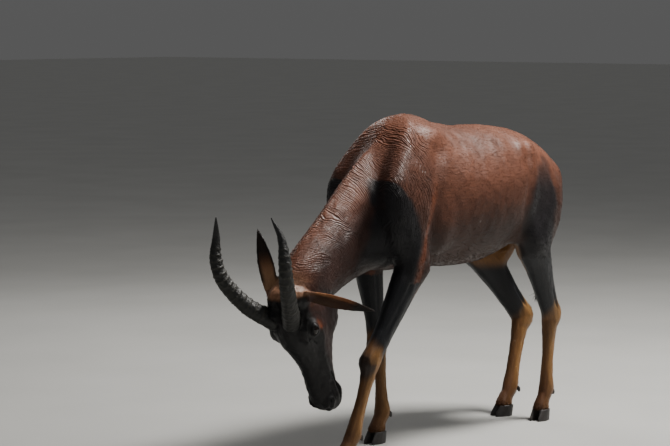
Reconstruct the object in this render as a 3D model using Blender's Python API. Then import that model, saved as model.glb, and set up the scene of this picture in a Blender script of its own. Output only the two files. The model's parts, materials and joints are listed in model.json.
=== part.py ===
"""Topi antelope, life size, standing with its head down to graze.

Metres, +Z up. The head is towards -X and the animal's left side towards -Y, so left is -1 and right is +1.
While modelling, x is measured aft of the withers and z from the ground. The last step centres the footprint.
The flesh is modelled whole from lofts and muscle masses, thinned, and then parted with narrow cuts.
"""

import math

import bmesh
import bpy
import numpy as np
from mathutils import Matrix, Vector

# ---- driving dimensions, in metres and degrees ----
GAP = 0.0004  # clearance between neighbouring solids
VOXEL = 0.0080  # grain of the fused flesh before it is thinned
FLESH_TRIANGLES = 4200
KEEP_FACTOR = 0.003  # how strongly the fine parts are guarded while the flesh is thinned
SMALLEST_SHELL = 40  # points; anything smaller is a crumb of the cuts
RING_POINTS = 32

LEFT, RIGHT = -1, 1
SIDES = {"left": LEFT, "right": RIGHT}

# Trunk: x, height of the back, height of the belly, half width, sharpness of the back, sharpness of the belly
TRUNK = (
    (-0.290, 0.860, 0.740, 0.065, 1.0, 1.0),
    (-0.230, 0.975, 0.690, 0.112, 1.1, 1.0),
    (-0.130, 1.130, 0.660, 0.154, 1.4, 1.0),
    (-0.030, 1.216, 0.655, 0.180, 1.6, 1.0),
    (0.070, 1.230, 0.655, 0.198, 1.5, 0.9),
    (0.180, 1.196, 0.650, 0.212, 1.4, 0.8),
    (0.300, 1.174, 0.645, 0.222, 1.2, 0.75),
    (0.430, 1.171, 0.655, 0.222, 1.1, 0.75),
    (0.560, 1.164, 0.690, 0.208, 1.05, 0.8),
    (0.690, 1.144, 0.735, 0.182, 1.05, 0.9),
    (0.810, 1.098, 0.770, 0.152, 1.05, 1.0),
    (0.900, 1.040, 0.800, 0.120, 1.0, 1.0),
    (0.970, 0.980, 0.830, 0.080, 1.0, 1.0),
    (1.010, 0.940, 0.865, 0.040, 1.0, 1.0),
)
TRUNK_WIDEST = 0.46  # share of the height, from the belly, at which the trunk is widest

# Neck: x, z of its middle line, half depth, half width, sharpness of the crest
NECK = (
    (0.010, 0.930, 0.235, 0.100, 1.5),
    (-0.120, 0.880, 0.215, 0.105, 1.5),
    (-0.230, 0.825, 0.180, 0.092, 1.4),
    (-0.330, 0.770, 0.150, 0.080, 1.3),
    (-0.420, 0.715, 0.132, 0.073, 1.2),
    (-0.495, 0.660, 0.122, 0.072, 1.1),
    (-0.540, 0.600, 0.112, 0.068, 1.0),
)

# Head frame: along the muzzle, towards the forehead, towards the animal's left cheek
HEAD_ORIGIN = Vector((-0.532, 0.0, 0.585))
HEAD_TUCK = 23.0  # the face leans this far past plumb, towards the feet
HEAD_TURN = 4.5  # towards the animal's left
HEAD_TILT = 2.7  # left cheek up

# Head: distance along the muzzle, forehead height, jaw depth, half width, sharpness of forehead, of jaw
HEAD = (
    (-0.062, 0.060, 0.065, 0.044, 1.0, 1.0),
    (-0.035, 0.112, 0.115, 0.064, 0.9, 1.0),
    (0.010, 0.136, 0.140, 0.073, 0.8, 1.1),
    (0.060, 0.138, 0.143, 0.077, 0.75, 1.2),
    (0.105, 0.129, 0.132, 0.075, 0.75, 1.3),
    (0.155, 0.108, 0.112, 0.062, 0.8, 1.3),
    (0.210, 0.089, 0.082, 0.050, 0.85, 1.2),
    (0.265, 0.083, 0.054, 0.045, 0.9, 1.0),
    (0.320, 0.082, 0.042, 0.047, 0.85, 0.9),
    (0.365, 0.070, 0.040, 0.051, 0.8, 0.8),
    (0.398, 0.054, 0.032, 0.046, 0.8, 0.8),
    (0.418, 0.030, 0.014, 0.030, 0.9, 0.9),
)
# Masses on each side of the head: place in the head frame, radii along it
HEAD_MASSES = (
    ((0.066, 0.076, 0.060), (0.048, 0.043, 0.035)),  # orbit
    ((0.000, 0.106, 0.040), (0.044, 0.048, 0.036)),  # pedicle
    ((0.070, -0.050, 0.045), (0.085, 0.075, 0.030)),  # cheek
    ((-0.045, 0.042, 0.052), (0.034, 0.042, 0.026)),  # ear base
    ((0.366, 0.036, 0.026), (0.038, 0.032, 0.028)),  # nostril wing
    ((0.358, -0.014, 0.020), (0.038, 0.026, 0.026)),  # lower lip
    ((-0.058, 0.066, 0.020), (0.046, 0.056, 0.042)),  # poll
)

HEAD_REGION = (-0.36, 0.17)  # the head and the front of the neck lie ahead of this x and above this z
EYE_PLACE = (0.070, 0.057, 0.0735)
EYE_RADIUS = 0.0195

# Horn centre line in the head frame: back from the face, forehead height, out from the middle
HORN_LINE = (
    (-0.014, 0.110, 0.036),
    (0.000, 0.119, 0.044),
    (0.061, 0.157, 0.086),
    (0.128, 0.179, 0.117),
    (0.200, 0.190, 0.140),
    (0.267, 0.178, 0.149),
    (0.335, 0.152, 0.140),
    (0.407, 0.146, 0.119),
)
# Horn build: share of the length, radius
HORN_TAPER = (
    (0.00, 0.0370),
    (0.12, 0.0325),
    (0.30, 0.0290),
    (0.50, 0.0265),
    (0.68, 0.0225),
    (0.82, 0.0155),
    (0.93, 0.0090),
    (1.00, 0.0035),
)
HORN_SIDES = 9
HORN_RINGS = 13  # swollen rings, over the lower three quarters
HORN_RING_SPAN = (0.08, 0.78)
HORN_RING_HEIGHT = 0.0016
HORN_RING_CROWDING = 0.85  # below 1 the rings stand closer together towards the tip
HORN_OVAL = (0.94, 1.04)  # across, front to back

# Ear: share of the length, half width, cup depth
EAR = (
    (0.00, 0.021, 0.016),
    (0.16, 0.028, 0.020),
    (0.42, 0.034, 0.018),
    (0.68, 0.027, 0.011),
    (0.88, 0.014, 0.005),
    (1.00, 0.003, 0.001),
)
EAR_LENGTH = 0.250
EAR_THICKNESS = 0.0075  # thins towards both rims
EAR_RIM = (0.94, 0.15)  # the inner face's share of the width, and of the thickness left at the rim
EAR_POINTS = 6  # across one face
# Ear: root in the head frame, direction, side that the cup faces, in model axes
EARS = {
    "ear_left": ((-0.056, 0.045, 0.066), (0.66, -0.73, -0.22), (-0.60, -0.45, -0.66)),
    "ear_right": ((-0.048, 0.060, -0.058), (0.030, 0.32, 0.95), (-0.95, -0.25, 0.10)),
}

# Legs: side, how far the toes turn out in degrees, how far the shoulder or thigh is carried aft; the joints
# (elbow or stifle, knee or hock, fetlock, coronet) as x, distance from the middle plane, z
LEGS = {
    "foreleg_left": (
        (LEFT, 0.0, -0.022),
        ((-0.088, 0.150, 0.700), (-0.298, 0.125, 0.358), (-0.382, 0.112, 0.112), (-0.418, 0.110, 0.052)),
    ),
    "foreleg_right": (
        (RIGHT, 0.0, 0.022),
        ((0.012, 0.150, 0.705), (0.045, 0.118, 0.358), (0.046, 0.100, 0.112), (0.014, 0.098, 0.052)),
    ),
    "hindleg_left": (
        (LEFT, 4.0, 0.0),
        ((0.640, 0.150, 0.735), (0.832, 0.112, 0.406), (0.818, 0.105, 0.118), (0.788, 0.105, 0.052)),
    ),
    "hindleg_right": (
        (RIGHT, 22.0, 0.0),
        ((0.640, 0.140, 0.725), (0.902, 0.075, 0.380), (0.812, 0.062, 0.112), (0.774, 0.062, 0.052)),
    ),
}
# Shoulder and thigh: x, distance from the middle plane, z, half width, half depth
SHOULDER = (
    (0.045, 0.034, 1.200, 0.022, 0.055),
    (0.005, 0.078, 1.130, 0.046, 0.090),
    (-0.045, 0.114, 1.030, 0.064, 0.115),
    (-0.092, 0.132, 0.935, 0.070, 0.132),
    (-0.100, 0.134, 0.850, 0.068, 0.122),
    (-0.080, 0.136, 0.775, 0.062, 0.100),
)
THIGH = (
    (0.680, 0.040, 1.075, 0.030, 0.070),
    (0.712, 0.070, 1.010, 0.060, 0.120),
    (0.740, 0.096, 0.935, 0.076, 0.152),
    (0.742, 0.110, 0.865, 0.078, 0.158),
    (0.708, 0.122, 0.795, 0.072, 0.138),
)
# Muscle and fold masses that join limb to trunk, on each side: place, radii, lean aft in degrees
BODY_MASSES = (
    ((0.560, 0.150, 0.800), (0.110, 0.030, 0.085), 35.0),  # flank fold
    ((0.600, 0.120, 1.020), (0.110, 0.060, 0.095), 0.0),  # hip
    ((0.838, 0.080, 0.800), (0.072, 0.054, 0.220), 20.0),  # buttock
    ((0.080, 0.140, 0.860), (0.090, 0.060, 0.150), 8.0),  # upper arm
    ((0.060, 0.090, 1.080), (0.110, 0.060, 0.110), 20.0),  # shoulder blade
    ((-0.170, 0.060, 0.780), (0.090, 0.060, 0.080), -30.0),  # breast
)
# Leg build: joint, share of the way to the next, half width, half depth, set back
FORELEG_BUILD = (
    (0, 0.02, 0.056, 0.080, 0.000),
    (0, 0.24, 0.048, 0.062, 0.002),
    (0, 0.48, 0.040, 0.049, 0.002),
    (0, 0.70, 0.033, 0.040, 0.000),
    (0, 0.88, 0.032, 0.039, -0.004),
    (1, 0.00, 0.036, 0.043, -0.006),
    (1, 0.12, 0.030, 0.035, 0.000),
    (1, 0.28, 0.023, 0.027, 0.003),
    (1, 0.55, 0.0205, 0.025, 0.003),
    (1, 0.82, 0.023, 0.028, 0.002),
    (2, 0.00, 0.029, 0.034, 0.003),
    (2, 0.50, 0.026, 0.028, 0.000),
    (3, 0.00, 0.031, 0.034, 0.000),
    (3, 0.40, 0.032, 0.034, 0.010),
    (3, 0.70, 0.028, 0.028, 0.020),
)
HINDLEG_BUILD = (
    (0, 0.02, 0.062, 0.098, 0.006),
    (0, 0.24, 0.052, 0.078, 0.010),
    (0, 0.48, 0.042, 0.061, 0.010),
    (0, 0.70, 0.036, 0.051, 0.009),
    (0, 0.88, 0.033, 0.049, 0.012),
    (1, 0.00, 0.036, 0.050, 0.010),
    (1, 0.13, 0.031, 0.040, 0.002),
    (1, 0.32, 0.0245, 0.033, 0.001),
    (1, 0.60, 0.0225, 0.029, 0.001),
    (1, 0.84, 0.025, 0.030, 0.002),
    (2, 0.00, 0.030, 0.035, 0.003),
    (2, 0.50, 0.026, 0.028, 0.000),
    (3, 0.00, 0.031, 0.034, 0.000),
    (3, 0.40, 0.032, 0.034, 0.010),
    (3, 0.70, 0.028, 0.028, 0.020),
)

# Tail: x, y, z, radius
TAIL = (
    (0.915, 0.000, 0.985, 0.019),
    (0.968, 0.001, 0.968, 0.020),
    (1.004, 0.006, 0.925, 0.018),
    (1.014, 0.014, 0.860, 0.016),
    (1.008, 0.022, 0.775, 0.015),
    (0.994, 0.030, 0.690, 0.016),
    (0.982, 0.036, 0.590, 0.024),
    (0.978, 0.040, 0.525, 0.021),
    (0.976, 0.041, 0.480, 0.005),
)

# Claws of the hoof
CLAW_HALF_LENGTH = 0.040
CLAW_HALF_WIDTH = 0.0155
CORONET_HEIGHT = 0.044
CLEFT = 0.003  # half the gap between the two claws
CLAW_SIDES = 12
CLAW_POINT = 0.42  # how much the toe narrows
# Levels of a claw: share of the height, how far ahead of the coronet, share of the length, share of the width
CLAW_LEVELS = ((0.0, 0.014, 1.0, 1.0), (0.25, 0.012, 0.98, 0.99), (1.0, 0.000, 0.78, 0.90))
DEWCLAW_RADII = (0.008, 0.0075, 0.014)
DEWCLAW_PLACE = (0.032, 0.015, 0.012)  # behind, beside and below the middle of the fetlock
DEWCLAW_LEAN = -18.0

BELOW_CORONETS = ((-1.0, -0.6, -0.2), (1.4, 0.6, CORONET_HEIGHT))  # the flesh of the legs ends above this box

# Thin cuts that part the flesh: centre, normal, half extents across it (in the x-z plane, then in y)
CUTS = {
    "poll": ((-0.515, 0.0, 0.648), (-0.30, 0.0, -0.954), (0.25, 0.20)),
    "withers": ((-0.190, 0.0, 0.915), (-0.943, 0.0, 0.334), (0.32, 0.30)),
    "elbow_left": ((-0.130, -0.150, 0.628), (0.0, 0.0, 1.0), (0.14, 0.10)),
    "elbow_right": ((0.020, 0.150, 0.628), (0.0, 0.0, 1.0), (0.14, 0.10)),
    "stifle_left": ((0.720, -0.150, 0.652), (0.0, 0.0, 1.0), (0.21, 0.13)),
    "stifle_right": ((0.720, 0.150, 0.652), (0.0, 0.0, 1.0), (0.21, 0.13)),
}
# A place near the middle of each parted length of flesh
MIDDLES = {
    "head": (-0.50, 0.0, 0.45),
    "neck": (-0.30, 0.0, 0.80),
    "trunk": (0.35, 0.0, 0.90),
    "foreleg_left": (-0.30, -0.12, 0.30),
    "foreleg_right": (0.04, 0.12, 0.30),
    "hindleg_left": (0.80, -0.12, 0.35),
    "hindleg_right": (0.85, 0.08, 0.35),
}

# Finish of each kind of surface: red, green, blue, roughness
FINISHES = {
    "coat": (0.200, 0.075, 0.040, 0.55),
    "horn": (0.045, 0.043, 0.038, 0.60),
    "hoof": (0.030, 0.027, 0.024, 0.40),
    "eye": (0.015, 0.010, 0.008, 0.10),
}


# ---- curves and closed shapes ----
def spread(rows, steps):
    """More rows on a smooth curve through these ones, steps to a span."""
    table = np.array(rows, float)
    padded = np.vstack((2 * table[0] - table[1], table, 2 * table[-1] - table[-2]))
    result = []
    for i in range(len(table) - 1):
        a, b, c, d = padded[i : i + 4]
        for k in range(steps):
            t = k / steps
            bend = (2 * a - 5 * b + 4 * c - d) * t**2 + (3 * b - a - 3 * c + d) * t**3
            result.append(0.5 * (2 * b + (c - a) * t + bend))
    result.append(table[-1])
    return result


def ring(centre, across, upward, half_width, rise, drop, crown=1.0, keel=1.0, points=RING_POINTS):
    """One closed cross-section: an oval whose top and bottom halves have their own height and sharpness."""
    result = []
    for k in range(points):
        turn = math.tau * k / points
        sine, cosine = math.sin(turn), math.cos(turn)
        sharpness = crown if cosine > 0 else keel
        height = rise if cosine > 0 else drop
        side = math.copysign(abs(sine) ** sharpness, sine)
        result.append(centre + across * (half_width * side) + upward * (height * cosine))
    return result


def new_object(name, mesh):
    """A named object that holds this mesh."""
    body = bpy.data.objects.new(name, mesh)
    bpy.context.scene.collection.objects.link(body)
    return body


def loft(name, rings):
    """A closed solid through cross-sections that have the same number of points."""
    shape = bmesh.new()
    loops = [[shape.verts.new(p) for p in points] for points in rings]
    count = len(rings[0])
    for lower, upper in zip(loops, loops[1:]):
        for k in range(count):
            shape.faces.new((lower[k], lower[(k + 1) % count], upper[(k + 1) % count], upper[k]))
    shape.faces.new(reversed(loops[0]))
    shape.faces.new(loops[-1])
    bmesh.ops.recalc_face_normals(shape, faces=shape.faces)
    mesh = bpy.data.meshes.new(name)
    shape.to_mesh(mesh)
    shape.free()
    return new_object(name, mesh)


def tube(name, rows, across, points=RING_POINTS):
    """A closed tube through rows of x, y, z, half width, half depth; each section is square to the run."""
    rings = []
    for i, (x, y, z, width, depth) in enumerate(rows):
        before, after = rows[max(i - 1, 0)], rows[min(i + 1, len(rows) - 1)]
        run = (Vector(after[:3]) - Vector(before[:3])).normalized()
        upward = run.cross(across).normalized()
        rings.append(ring(Vector((x, y, z)), across, upward, width, depth, depth, points=points))
    return loft(name, rings)


def blob(name, centre, radii, lean=0.0, segments=24):
    """An oval mass, leaning aft by lean degrees."""
    shape = bmesh.new()
    bmesh.ops.create_uvsphere(shape, u_segments=segments, v_segments=segments // 2 + 2, radius=1.0)
    mesh = bpy.data.meshes.new(name)
    shape.to_mesh(mesh)
    shape.free()
    turn = Matrix.Rotation(math.radians(lean), 4, "Y")
    mesh.transform(Matrix.Translation(centre) @ turn @ Matrix.Diagonal((*radii, 1.0)))
    return new_object(name, mesh)


def box(name, low, high):
    """A box between two corners."""
    shape = bmesh.new()
    bmesh.ops.create_cube(shape, size=1.0)
    mesh = bpy.data.meshes.new(name)
    shape.to_mesh(mesh)
    shape.free()
    size = Vector(high) - Vector(low)
    mesh.transform(Matrix.Translation((Vector(high) + Vector(low)) / 2) @ Matrix.Diagonal((*size, 1.0)))
    return new_object(name, mesh)


# ---- tools ----
def apply_modifiers(body):
    """Makes the evaluated shape the object's own mesh."""
    bpy.context.view_layer.update()
    evaluated = body.evaluated_get(bpy.context.evaluated_depsgraph_get())
    mesh = bpy.data.meshes.new_from_object(evaluated)
    body.modifiers.clear()
    body.data = mesh


def join(name, bodies):
    """One object from several, each still its own shell."""
    shape = bmesh.new()
    for body in bodies:
        shape.from_mesh(body.data)
        bpy.data.objects.remove(body)
    mesh = bpy.data.meshes.new(name)
    shape.to_mesh(mesh)
    shape.free()
    return new_object(name, mesh)


def fuse(name, bodies, voxel):
    """One skin over overlapping shells."""
    whole = join(name, bodies)
    remesh = whole.modifiers.new("fuse", "REMESH")
    remesh.mode = "VOXEL"
    remesh.voxel_size = voxel
    apply_modifiers(whole)
    return whole


def relax(body, rounds, pull, push, strength):
    """Rounds off creases: each round pulls every point towards its neighbours' middle, then pushes it out.
    strength(points) gives each point's share of both."""
    mesh = body.data
    points = np.empty(len(mesh.vertices) * 3)
    mesh.vertices.foreach_get("co", points)
    points = points.reshape(-1, 3)
    edges = np.empty(len(mesh.edges) * 2, int)
    mesh.edges.foreach_get("vertices", edges)
    first, second = edges.reshape(-1, 2).T
    degree = np.bincount(first, minlength=len(points)) + np.bincount(second, minlength=len(points))
    share = strength(points)[:, None]
    for _ in range(rounds):
        for factor in (pull, -push):
            total = np.zeros_like(points)
            for axis in range(3):
                total[:, axis] = np.bincount(first, points[second, axis], len(points))
                total[:, axis] += np.bincount(second, points[first, axis], len(points))
            points += share * factor * (total / degree[:, None] - points)
    mesh.vertices.foreach_set("co", points.ravel())
    mesh.update()


def thin(body, triangles, keep):
    """Collapses edges down to about this many triangles. keep(point) from 0 to 1 guards the fine parts."""
    group = body.vertex_groups.new(name="spare")
    for vertex in body.data.vertices:
        group.add([vertex.index], 1 - 0.98 * keep(vertex.co), "REPLACE")
    decimate = body.modifiers.new("thin", "DECIMATE")
    decimate.ratio = triangles / sum(len(face.vertices) - 2 for face in body.data.polygons)
    decimate.vertex_group = group.name
    decimate.vertex_group_factor = KEEP_FACTOR
    apply_modifiers(body)
    body.vertex_groups.clear()


def grown(body, distance):
    """A copy pushed out along its normals, for cutting a seat with clearance."""
    copy = new_object(body.name + "_seat", body.data.copy())
    normals = [v.normal.copy() for v in copy.data.vertices]
    for vertex, normal in zip(copy.data.vertices, normals):
        vertex.co += normal * distance
    return copy


def cut_slab(centre, normal, extents):
    """A thin slab square to the normal, for parting the flesh."""
    axis = Vector(normal).normalized()
    sideways = Vector((0, 1, 0))
    slab = box("cut", (-extents[0], -extents[1], -GAP / 2), (extents[0], extents[1], GAP / 2))
    turn = Matrix((sideways.cross(axis), sideways, axis)).transposed().to_4x4()
    slab.data.transform(Matrix.Translation(centre) @ turn)
    return slab


def carve(body, tool):
    """Cuts this solid out of body and removes it."""
    modifier = body.modifiers.new("carve", "BOOLEAN")
    modifier.operation = "DIFFERENCE"
    modifier.solver = "EXACT"
    modifier.object = tool
    apply_modifiers(body)
    bpy.data.objects.remove(tool)


def split(body, middles):
    """One named object for each shell of body, named by the nearest of these middles; crumbs are dropped."""
    shape = bmesh.new()
    shape.from_mesh(body.data)
    bpy.data.objects.remove(body)
    waiting = set(shape.verts)
    pieces = []
    while waiting:
        edge_of_search = [waiting.pop()]
        shell = set(edge_of_search)
        while edge_of_search:
            for edge in edge_of_search.pop().link_edges:
                for vertex in edge.verts:
                    if vertex in waiting:
                        waiting.discard(vertex)
                        shell.add(vertex)
                        edge_of_search.append(vertex)
        if len(shell) < SMALLEST_SHELL:
            continue
        places = {vertex: place for place, vertex in enumerate(sorted(shell, key=lambda v: v.index))}
        faces = [[places[v] for v in face.verts] for face in shape.faces if face.verts[0] in shell]
        centre = sum((v.co for v in shell), Vector()) / len(shell)
        name = min(middles, key=lambda key: (Vector(middles[key]) - centre).length)
        mesh = bpy.data.meshes.new(name)
        mesh.from_pydata([v.co.copy() for v in places], [], faces)
        pieces.append(new_object(name, mesh))
    shape.free()
    return pieces


# ---- the head's own frame ----
def head_frame():
    """Along the muzzle, towards the forehead, towards the left cheek."""
    tuck, turn, tilt = (math.radians(angle) for angle in (HEAD_TUCK, HEAD_TURN, HEAD_TILT))
    heading = Vector((-math.cos(turn), -math.sin(turn), 0))
    down = Vector((0, 0, -1))
    forehead = heading * math.cos(tuck) + down * math.sin(tuck)
    along = down * math.cos(tuck) - heading * math.sin(tuck)
    left = Vector((math.sin(turn), -math.cos(turn), 0))
    lean = Matrix.Rotation(tilt, 3, along.cross(left))
    return lean @ along, forehead, lean @ left


def head_point(along, forehead, left):
    """A place in the head frame as a point of the model."""
    a, f, l = head_frame()
    return HEAD_ORIGIN + a * along + f * forehead + l * left


# ---- flesh ----
def trunk_shape():
    """Chest, belly, back and croup."""
    rings = []
    for x, top, bottom, width, crown, keel in spread(TRUNK, 3):
        level = bottom + TRUNK_WIDEST * (top - bottom)
        centre, across, upward = Vector((x, 0, level)), Vector((0, 1, 0)), Vector((0, 0, 1))
        rings.append(ring(centre, across, upward, width, top - level, level - bottom, crown, keel))
    return loft("trunk_shape", rings)


def neck_shape():
    """The neck, from inside the shoulders to inside the head."""
    rows = spread(NECK, 3)
    rings = []
    for i, (x, z, depth, width, crown) in enumerate(rows):
        before, after = rows[max(i - 1, 0)], rows[min(i + 1, len(rows) - 1)]
        run = Vector((after[0] - before[0], 0, after[1] - before[1])).normalized()
        upward = Vector((run.z, 0, -run.x))
        rings.append(ring(Vector((x, 0, z)), Vector((0, 1, 0)), upward, width, depth, depth, crown, 1.0))
    return loft("neck_shape", rings)


def head_shape():
    """Skull, cheeks and muzzle in one loft."""
    along, forehead, left = head_frame()
    rings = []
    for distance, rise, drop, width, crown, keel in spread(HEAD, 3):
        middle = (rise - drop) / 2
        half = (rise + drop) / 2
        rings.append(ring(head_point(distance, middle, 0), left, forehead, width, half, half, crown, keel))
    return loft("head_shape", rings)


def head_masses():
    """Brow over each eye, horn pedicles, cheeks, nose and lips."""
    turn = Matrix(head_frame()).transposed().to_4x4()
    shapes = []
    for (along, forehead, out), radii in HEAD_MASSES:
        for side in (LEFT, RIGHT):
            mass = blob("head_mass", (0, 0, 0), radii)
            mass.data.transform(Matrix.Translation(head_point(along, forehead, -side * out)) @ turn)
            shapes.append(mass)
    return shapes


def toe_turn(leg):
    """The turn of this leg's foot about the upright."""
    (side, toe_out, _), _ = LEGS[leg]
    return Matrix.Rotation(math.radians(-side * toe_out), 3, "Z")


def leg_shape(name):
    """One leg, from high on the shoulder or thigh to the hoof: a tube that follows the joints."""
    (side, _, carried), joints = LEGS[name]
    upper, build = (SHOULDER, FORELEG_BUILD) if name.startswith("fore") else (THIGH, HINDLEG_BUILD)
    rows = []
    for i, (x, out, z, width, depth) in enumerate(upper):
        rows.append((x + carried * i / (len(upper) - 1), side * out, z, width, depth))
    places = [Vector((x, side * out, z)) for x, out, z in joints]
    places.append(places[-1] + (places[-1] - places[-2]))
    for joint, share, width, depth, back in build:
        centre = places[joint].lerp(places[joint + 1], share)
        rows.append((centre.x + back, centre.y, centre.z, width, depth))
    return tube(name, spread(rows, 3), toe_turn(name) @ Vector((0, 1, 0)))


def body_masses():
    """The masses that soften the joins of limbs, breast and loin with the trunk."""
    shapes = []
    for (x, y, z), radii, lean in BODY_MASSES:
        shapes += [blob("body_mass", (x, side * y, z), radii, lean) for side in (LEFT, RIGHT)]
    return shapes


def rounding(points):
    """Share of the strong rounding: full on the trunk, less on the neck, least on head and legs."""
    x, z = points[:, 0], points[:, 2]
    share = np.interp(z, (0.55, 0.72, 0.85), (0.03, 0.45, 1.0))
    return share * np.interp(x, (-0.52, -0.34, -0.15), (0.05, 0.5, 1.0))


def fineness(point):
    """Share of the guard while thinning: the head most, then the feet and joints, the trunk not at all."""
    x_back, z_low = HEAD_REGION
    if point.x < x_back and point.z > z_low:
        return float(np.interp((point - HEAD_ORIGIN).length, (0.30, 0.46), (1.0, 0.0)))
    return float(np.interp(point.z, (0.15, 0.45, 0.65), (0.75, 0.5, 0.0)))


# ---- hard parts, ears and tail ----
def horn(side_name):
    """One horn: a lyre-shaped sweep that tapers, with swollen rings over its lower part."""
    side = SIDES[side_name]
    line = [head_point(-back, forehead, -side * out) for back, forehead, out in HORN_LINE]
    course = [Vector(p) for p in spread(line, 12)]
    lengths = np.concatenate(([0.0], np.cumsum([(b - a).length for a, b in zip(course, course[1:])])))
    first, last = HORN_RING_SPAN
    steps = np.linspace(0, 1, 2 * HORN_RINGS + 1)
    shares = [0, first / 2, *(first + (last - first) * steps**HORN_RING_CROWDING), 0.86, 0.93, 1]
    share_keys, radius_keys = zip(*HORN_TAPER)
    reference = head_frame()[2]
    rings = []
    for number, share in enumerate(shares):
        place = share * lengths[-1]
        centre = Vector([np.interp(place, lengths, [p[axis] for p in course]) for axis in range(3)])
        ahead = Vector([np.interp(place + 0.01, lengths, [p[axis] for p in course]) for axis in range(3)])
        behind = Vector([np.interp(place - 0.01, lengths, [p[axis] for p in course]) for axis in range(3)])
        run = (ahead - behind).normalized()
        across = (reference - run * reference.dot(run)).normalized()
        swell = HORN_RING_HEIGHT * (1 if (number - 2) % 2 else -1) if first <= share <= last else 0.0
        radius = np.interp(share, share_keys, radius_keys) + swell
        wide, deep = radius * HORN_OVAL[0], radius * HORN_OVAL[1]
        rings.append(ring(centre, across, run.cross(across), wide, deep, deep, points=HORN_SIDES))
    return loft(f"horn_{side_name}", rings)


def ear(name):
    """One ear: a pointed cup with an outer and an inner face."""
    root, direction, facing = EARS[name]
    out = Vector(direction).normalized()
    front = Vector(facing)
    front = (front - out * front.dot(out)).normalized()
    across = out.cross(front)
    start = head_point(*root)
    shares = [np.cos(turn) for turn in np.linspace(math.pi, 0, EAR_POINTS)]
    narrower, rim = EAR_RIM
    rings = []
    for share, half_width, cup in spread(EAR, 2):
        centre = start + out * (share * EAR_LENGTH)
        thickness = min(EAR_THICKNESS, half_width)
        outer = [centre + across * (half_width * u) + front * (cup * (u * u - 1)) for u in shares]
        inner = []
        for u in reversed(shares):
            level = cup * (u * u - 1) + thickness * (1 + rim - u * u)
            inner.append(centre + across * (half_width * u * narrower) + front * level)
        rings.append(outer + inner)
    return loft(name, rings)


def eye(side_name):
    """One eyeball."""
    along, forehead, out = EYE_PLACE
    centre = head_point(along, forehead, -SIDES[side_name] * out)
    return blob(f"eye_{side_name}", centre, [EYE_RADIUS] * 3, segments=12)


def tail_shape():
    """The tail, hanging close behind the buttocks, with its tuft."""
    rows = [(x, y, z, radius, radius * 0.85) for x, y, z, radius in spread(TAIL, 2)]
    return tube("tail", rows, Vector((0, 1, 0)), points=10)


def toe_frame(leg):
    """Where a foot stands: the point on the floor under its coronet, its heading, and its own left."""
    (side, _, _), joints = LEGS[leg]
    heading = toe_turn(leg) @ Vector((-1, 0, 0))
    x, out, _ = joints[-1]
    return Vector((x, side * out, 0)), heading, Vector((0, 0, 1)).cross(heading)


def claws(leg):
    """The two claws of one hoof: flat soles, sloping toes, square tops under the coronet."""
    floor, heading, left = toe_frame(leg)
    pieces = []
    side = LEGS[leg][0][0]
    for name, inward in (("inner", 1), ("outer", -1)):
        middle = floor + left * (inward * side * (CLEFT + CLAW_HALF_WIDTH))
        rings = []
        for rise, forward, length, width in CLAW_LEVELS:
            level = Vector((0, 0, rise * (CORONET_HEIGHT - GAP)))
            loop = []
            for k in range(CLAW_SIDES):
                turn = math.tau * k / CLAW_SIDES
                taper = 1 - CLAW_POINT * max(math.cos(turn), 0) ** 2
                reach = forward + CLAW_HALF_LENGTH * length * math.cos(turn)
                beside = CLAW_HALF_WIDTH * width * math.sin(turn) * taper
                loop.append(middle + heading * reach + left * beside + level)
            rings.append(loop)
        pieces.append(loft(f"claw_{leg}_{name}", rings))
    return pieces


def dewclaws(leg):
    """The two small hooves behind one fetlock, half sunk in it."""
    floor, heading, left = toe_frame(leg)
    (side, _, _), joints = LEGS[leg]
    x, out, z = joints[2]
    fetlock = Vector((x, side * out, z))
    behind, beside, below = DEWCLAW_PLACE
    pieces = []
    for name, inward in (("inner", 1), ("outer", -1)):
        centre = fetlock - heading * behind + left * (inward * side * beside) - Vector((0, 0, below))
        pieces.append(blob(f"dewclaw_{leg}_{name}", centre, DEWCLAW_RADII, lean=DEWCLAW_LEAN, segments=6))
    return pieces


# ---- finish and placing ----
def kind_of(name):
    """Which kind of surface a sub-part has."""
    if name.startswith(("claw", "dewclaw")):
        return "hoof"
    return {"horn": "horn", "eye": "eye"}.get(name.split("_")[0], "coat")


def paint(body):
    """Gives a sub-part its own material."""
    red, green, blue, roughness = FINISHES[kind_of(body.name)]
    material = bpy.data.materials.new(f"{body.name}_{kind_of(body.name)}")
    material.use_nodes = True
    principled = material.node_tree.nodes["Principled BSDF"]
    principled.inputs["Base Color"].default_value = (red, green, blue, 1.0)
    principled.inputs["Roughness"].default_value = roughness
    body.data.materials.clear()
    body.data.materials.append(material)


def centre_footprint(bodies):
    """Moves everything so that the footprint's middle is the origin and the lowest point is on the floor."""
    points = np.array([vertex.co for body in bodies for vertex in body.data.vertices])
    low, high = points.min(axis=0), points.max(axis=0)
    move = Matrix.Translation((-(low[0] + high[0]) / 2, -(low[1] + high[1]) / 2, -low[2]))
    for body in bodies:
        body.data.transform(move)


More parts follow.
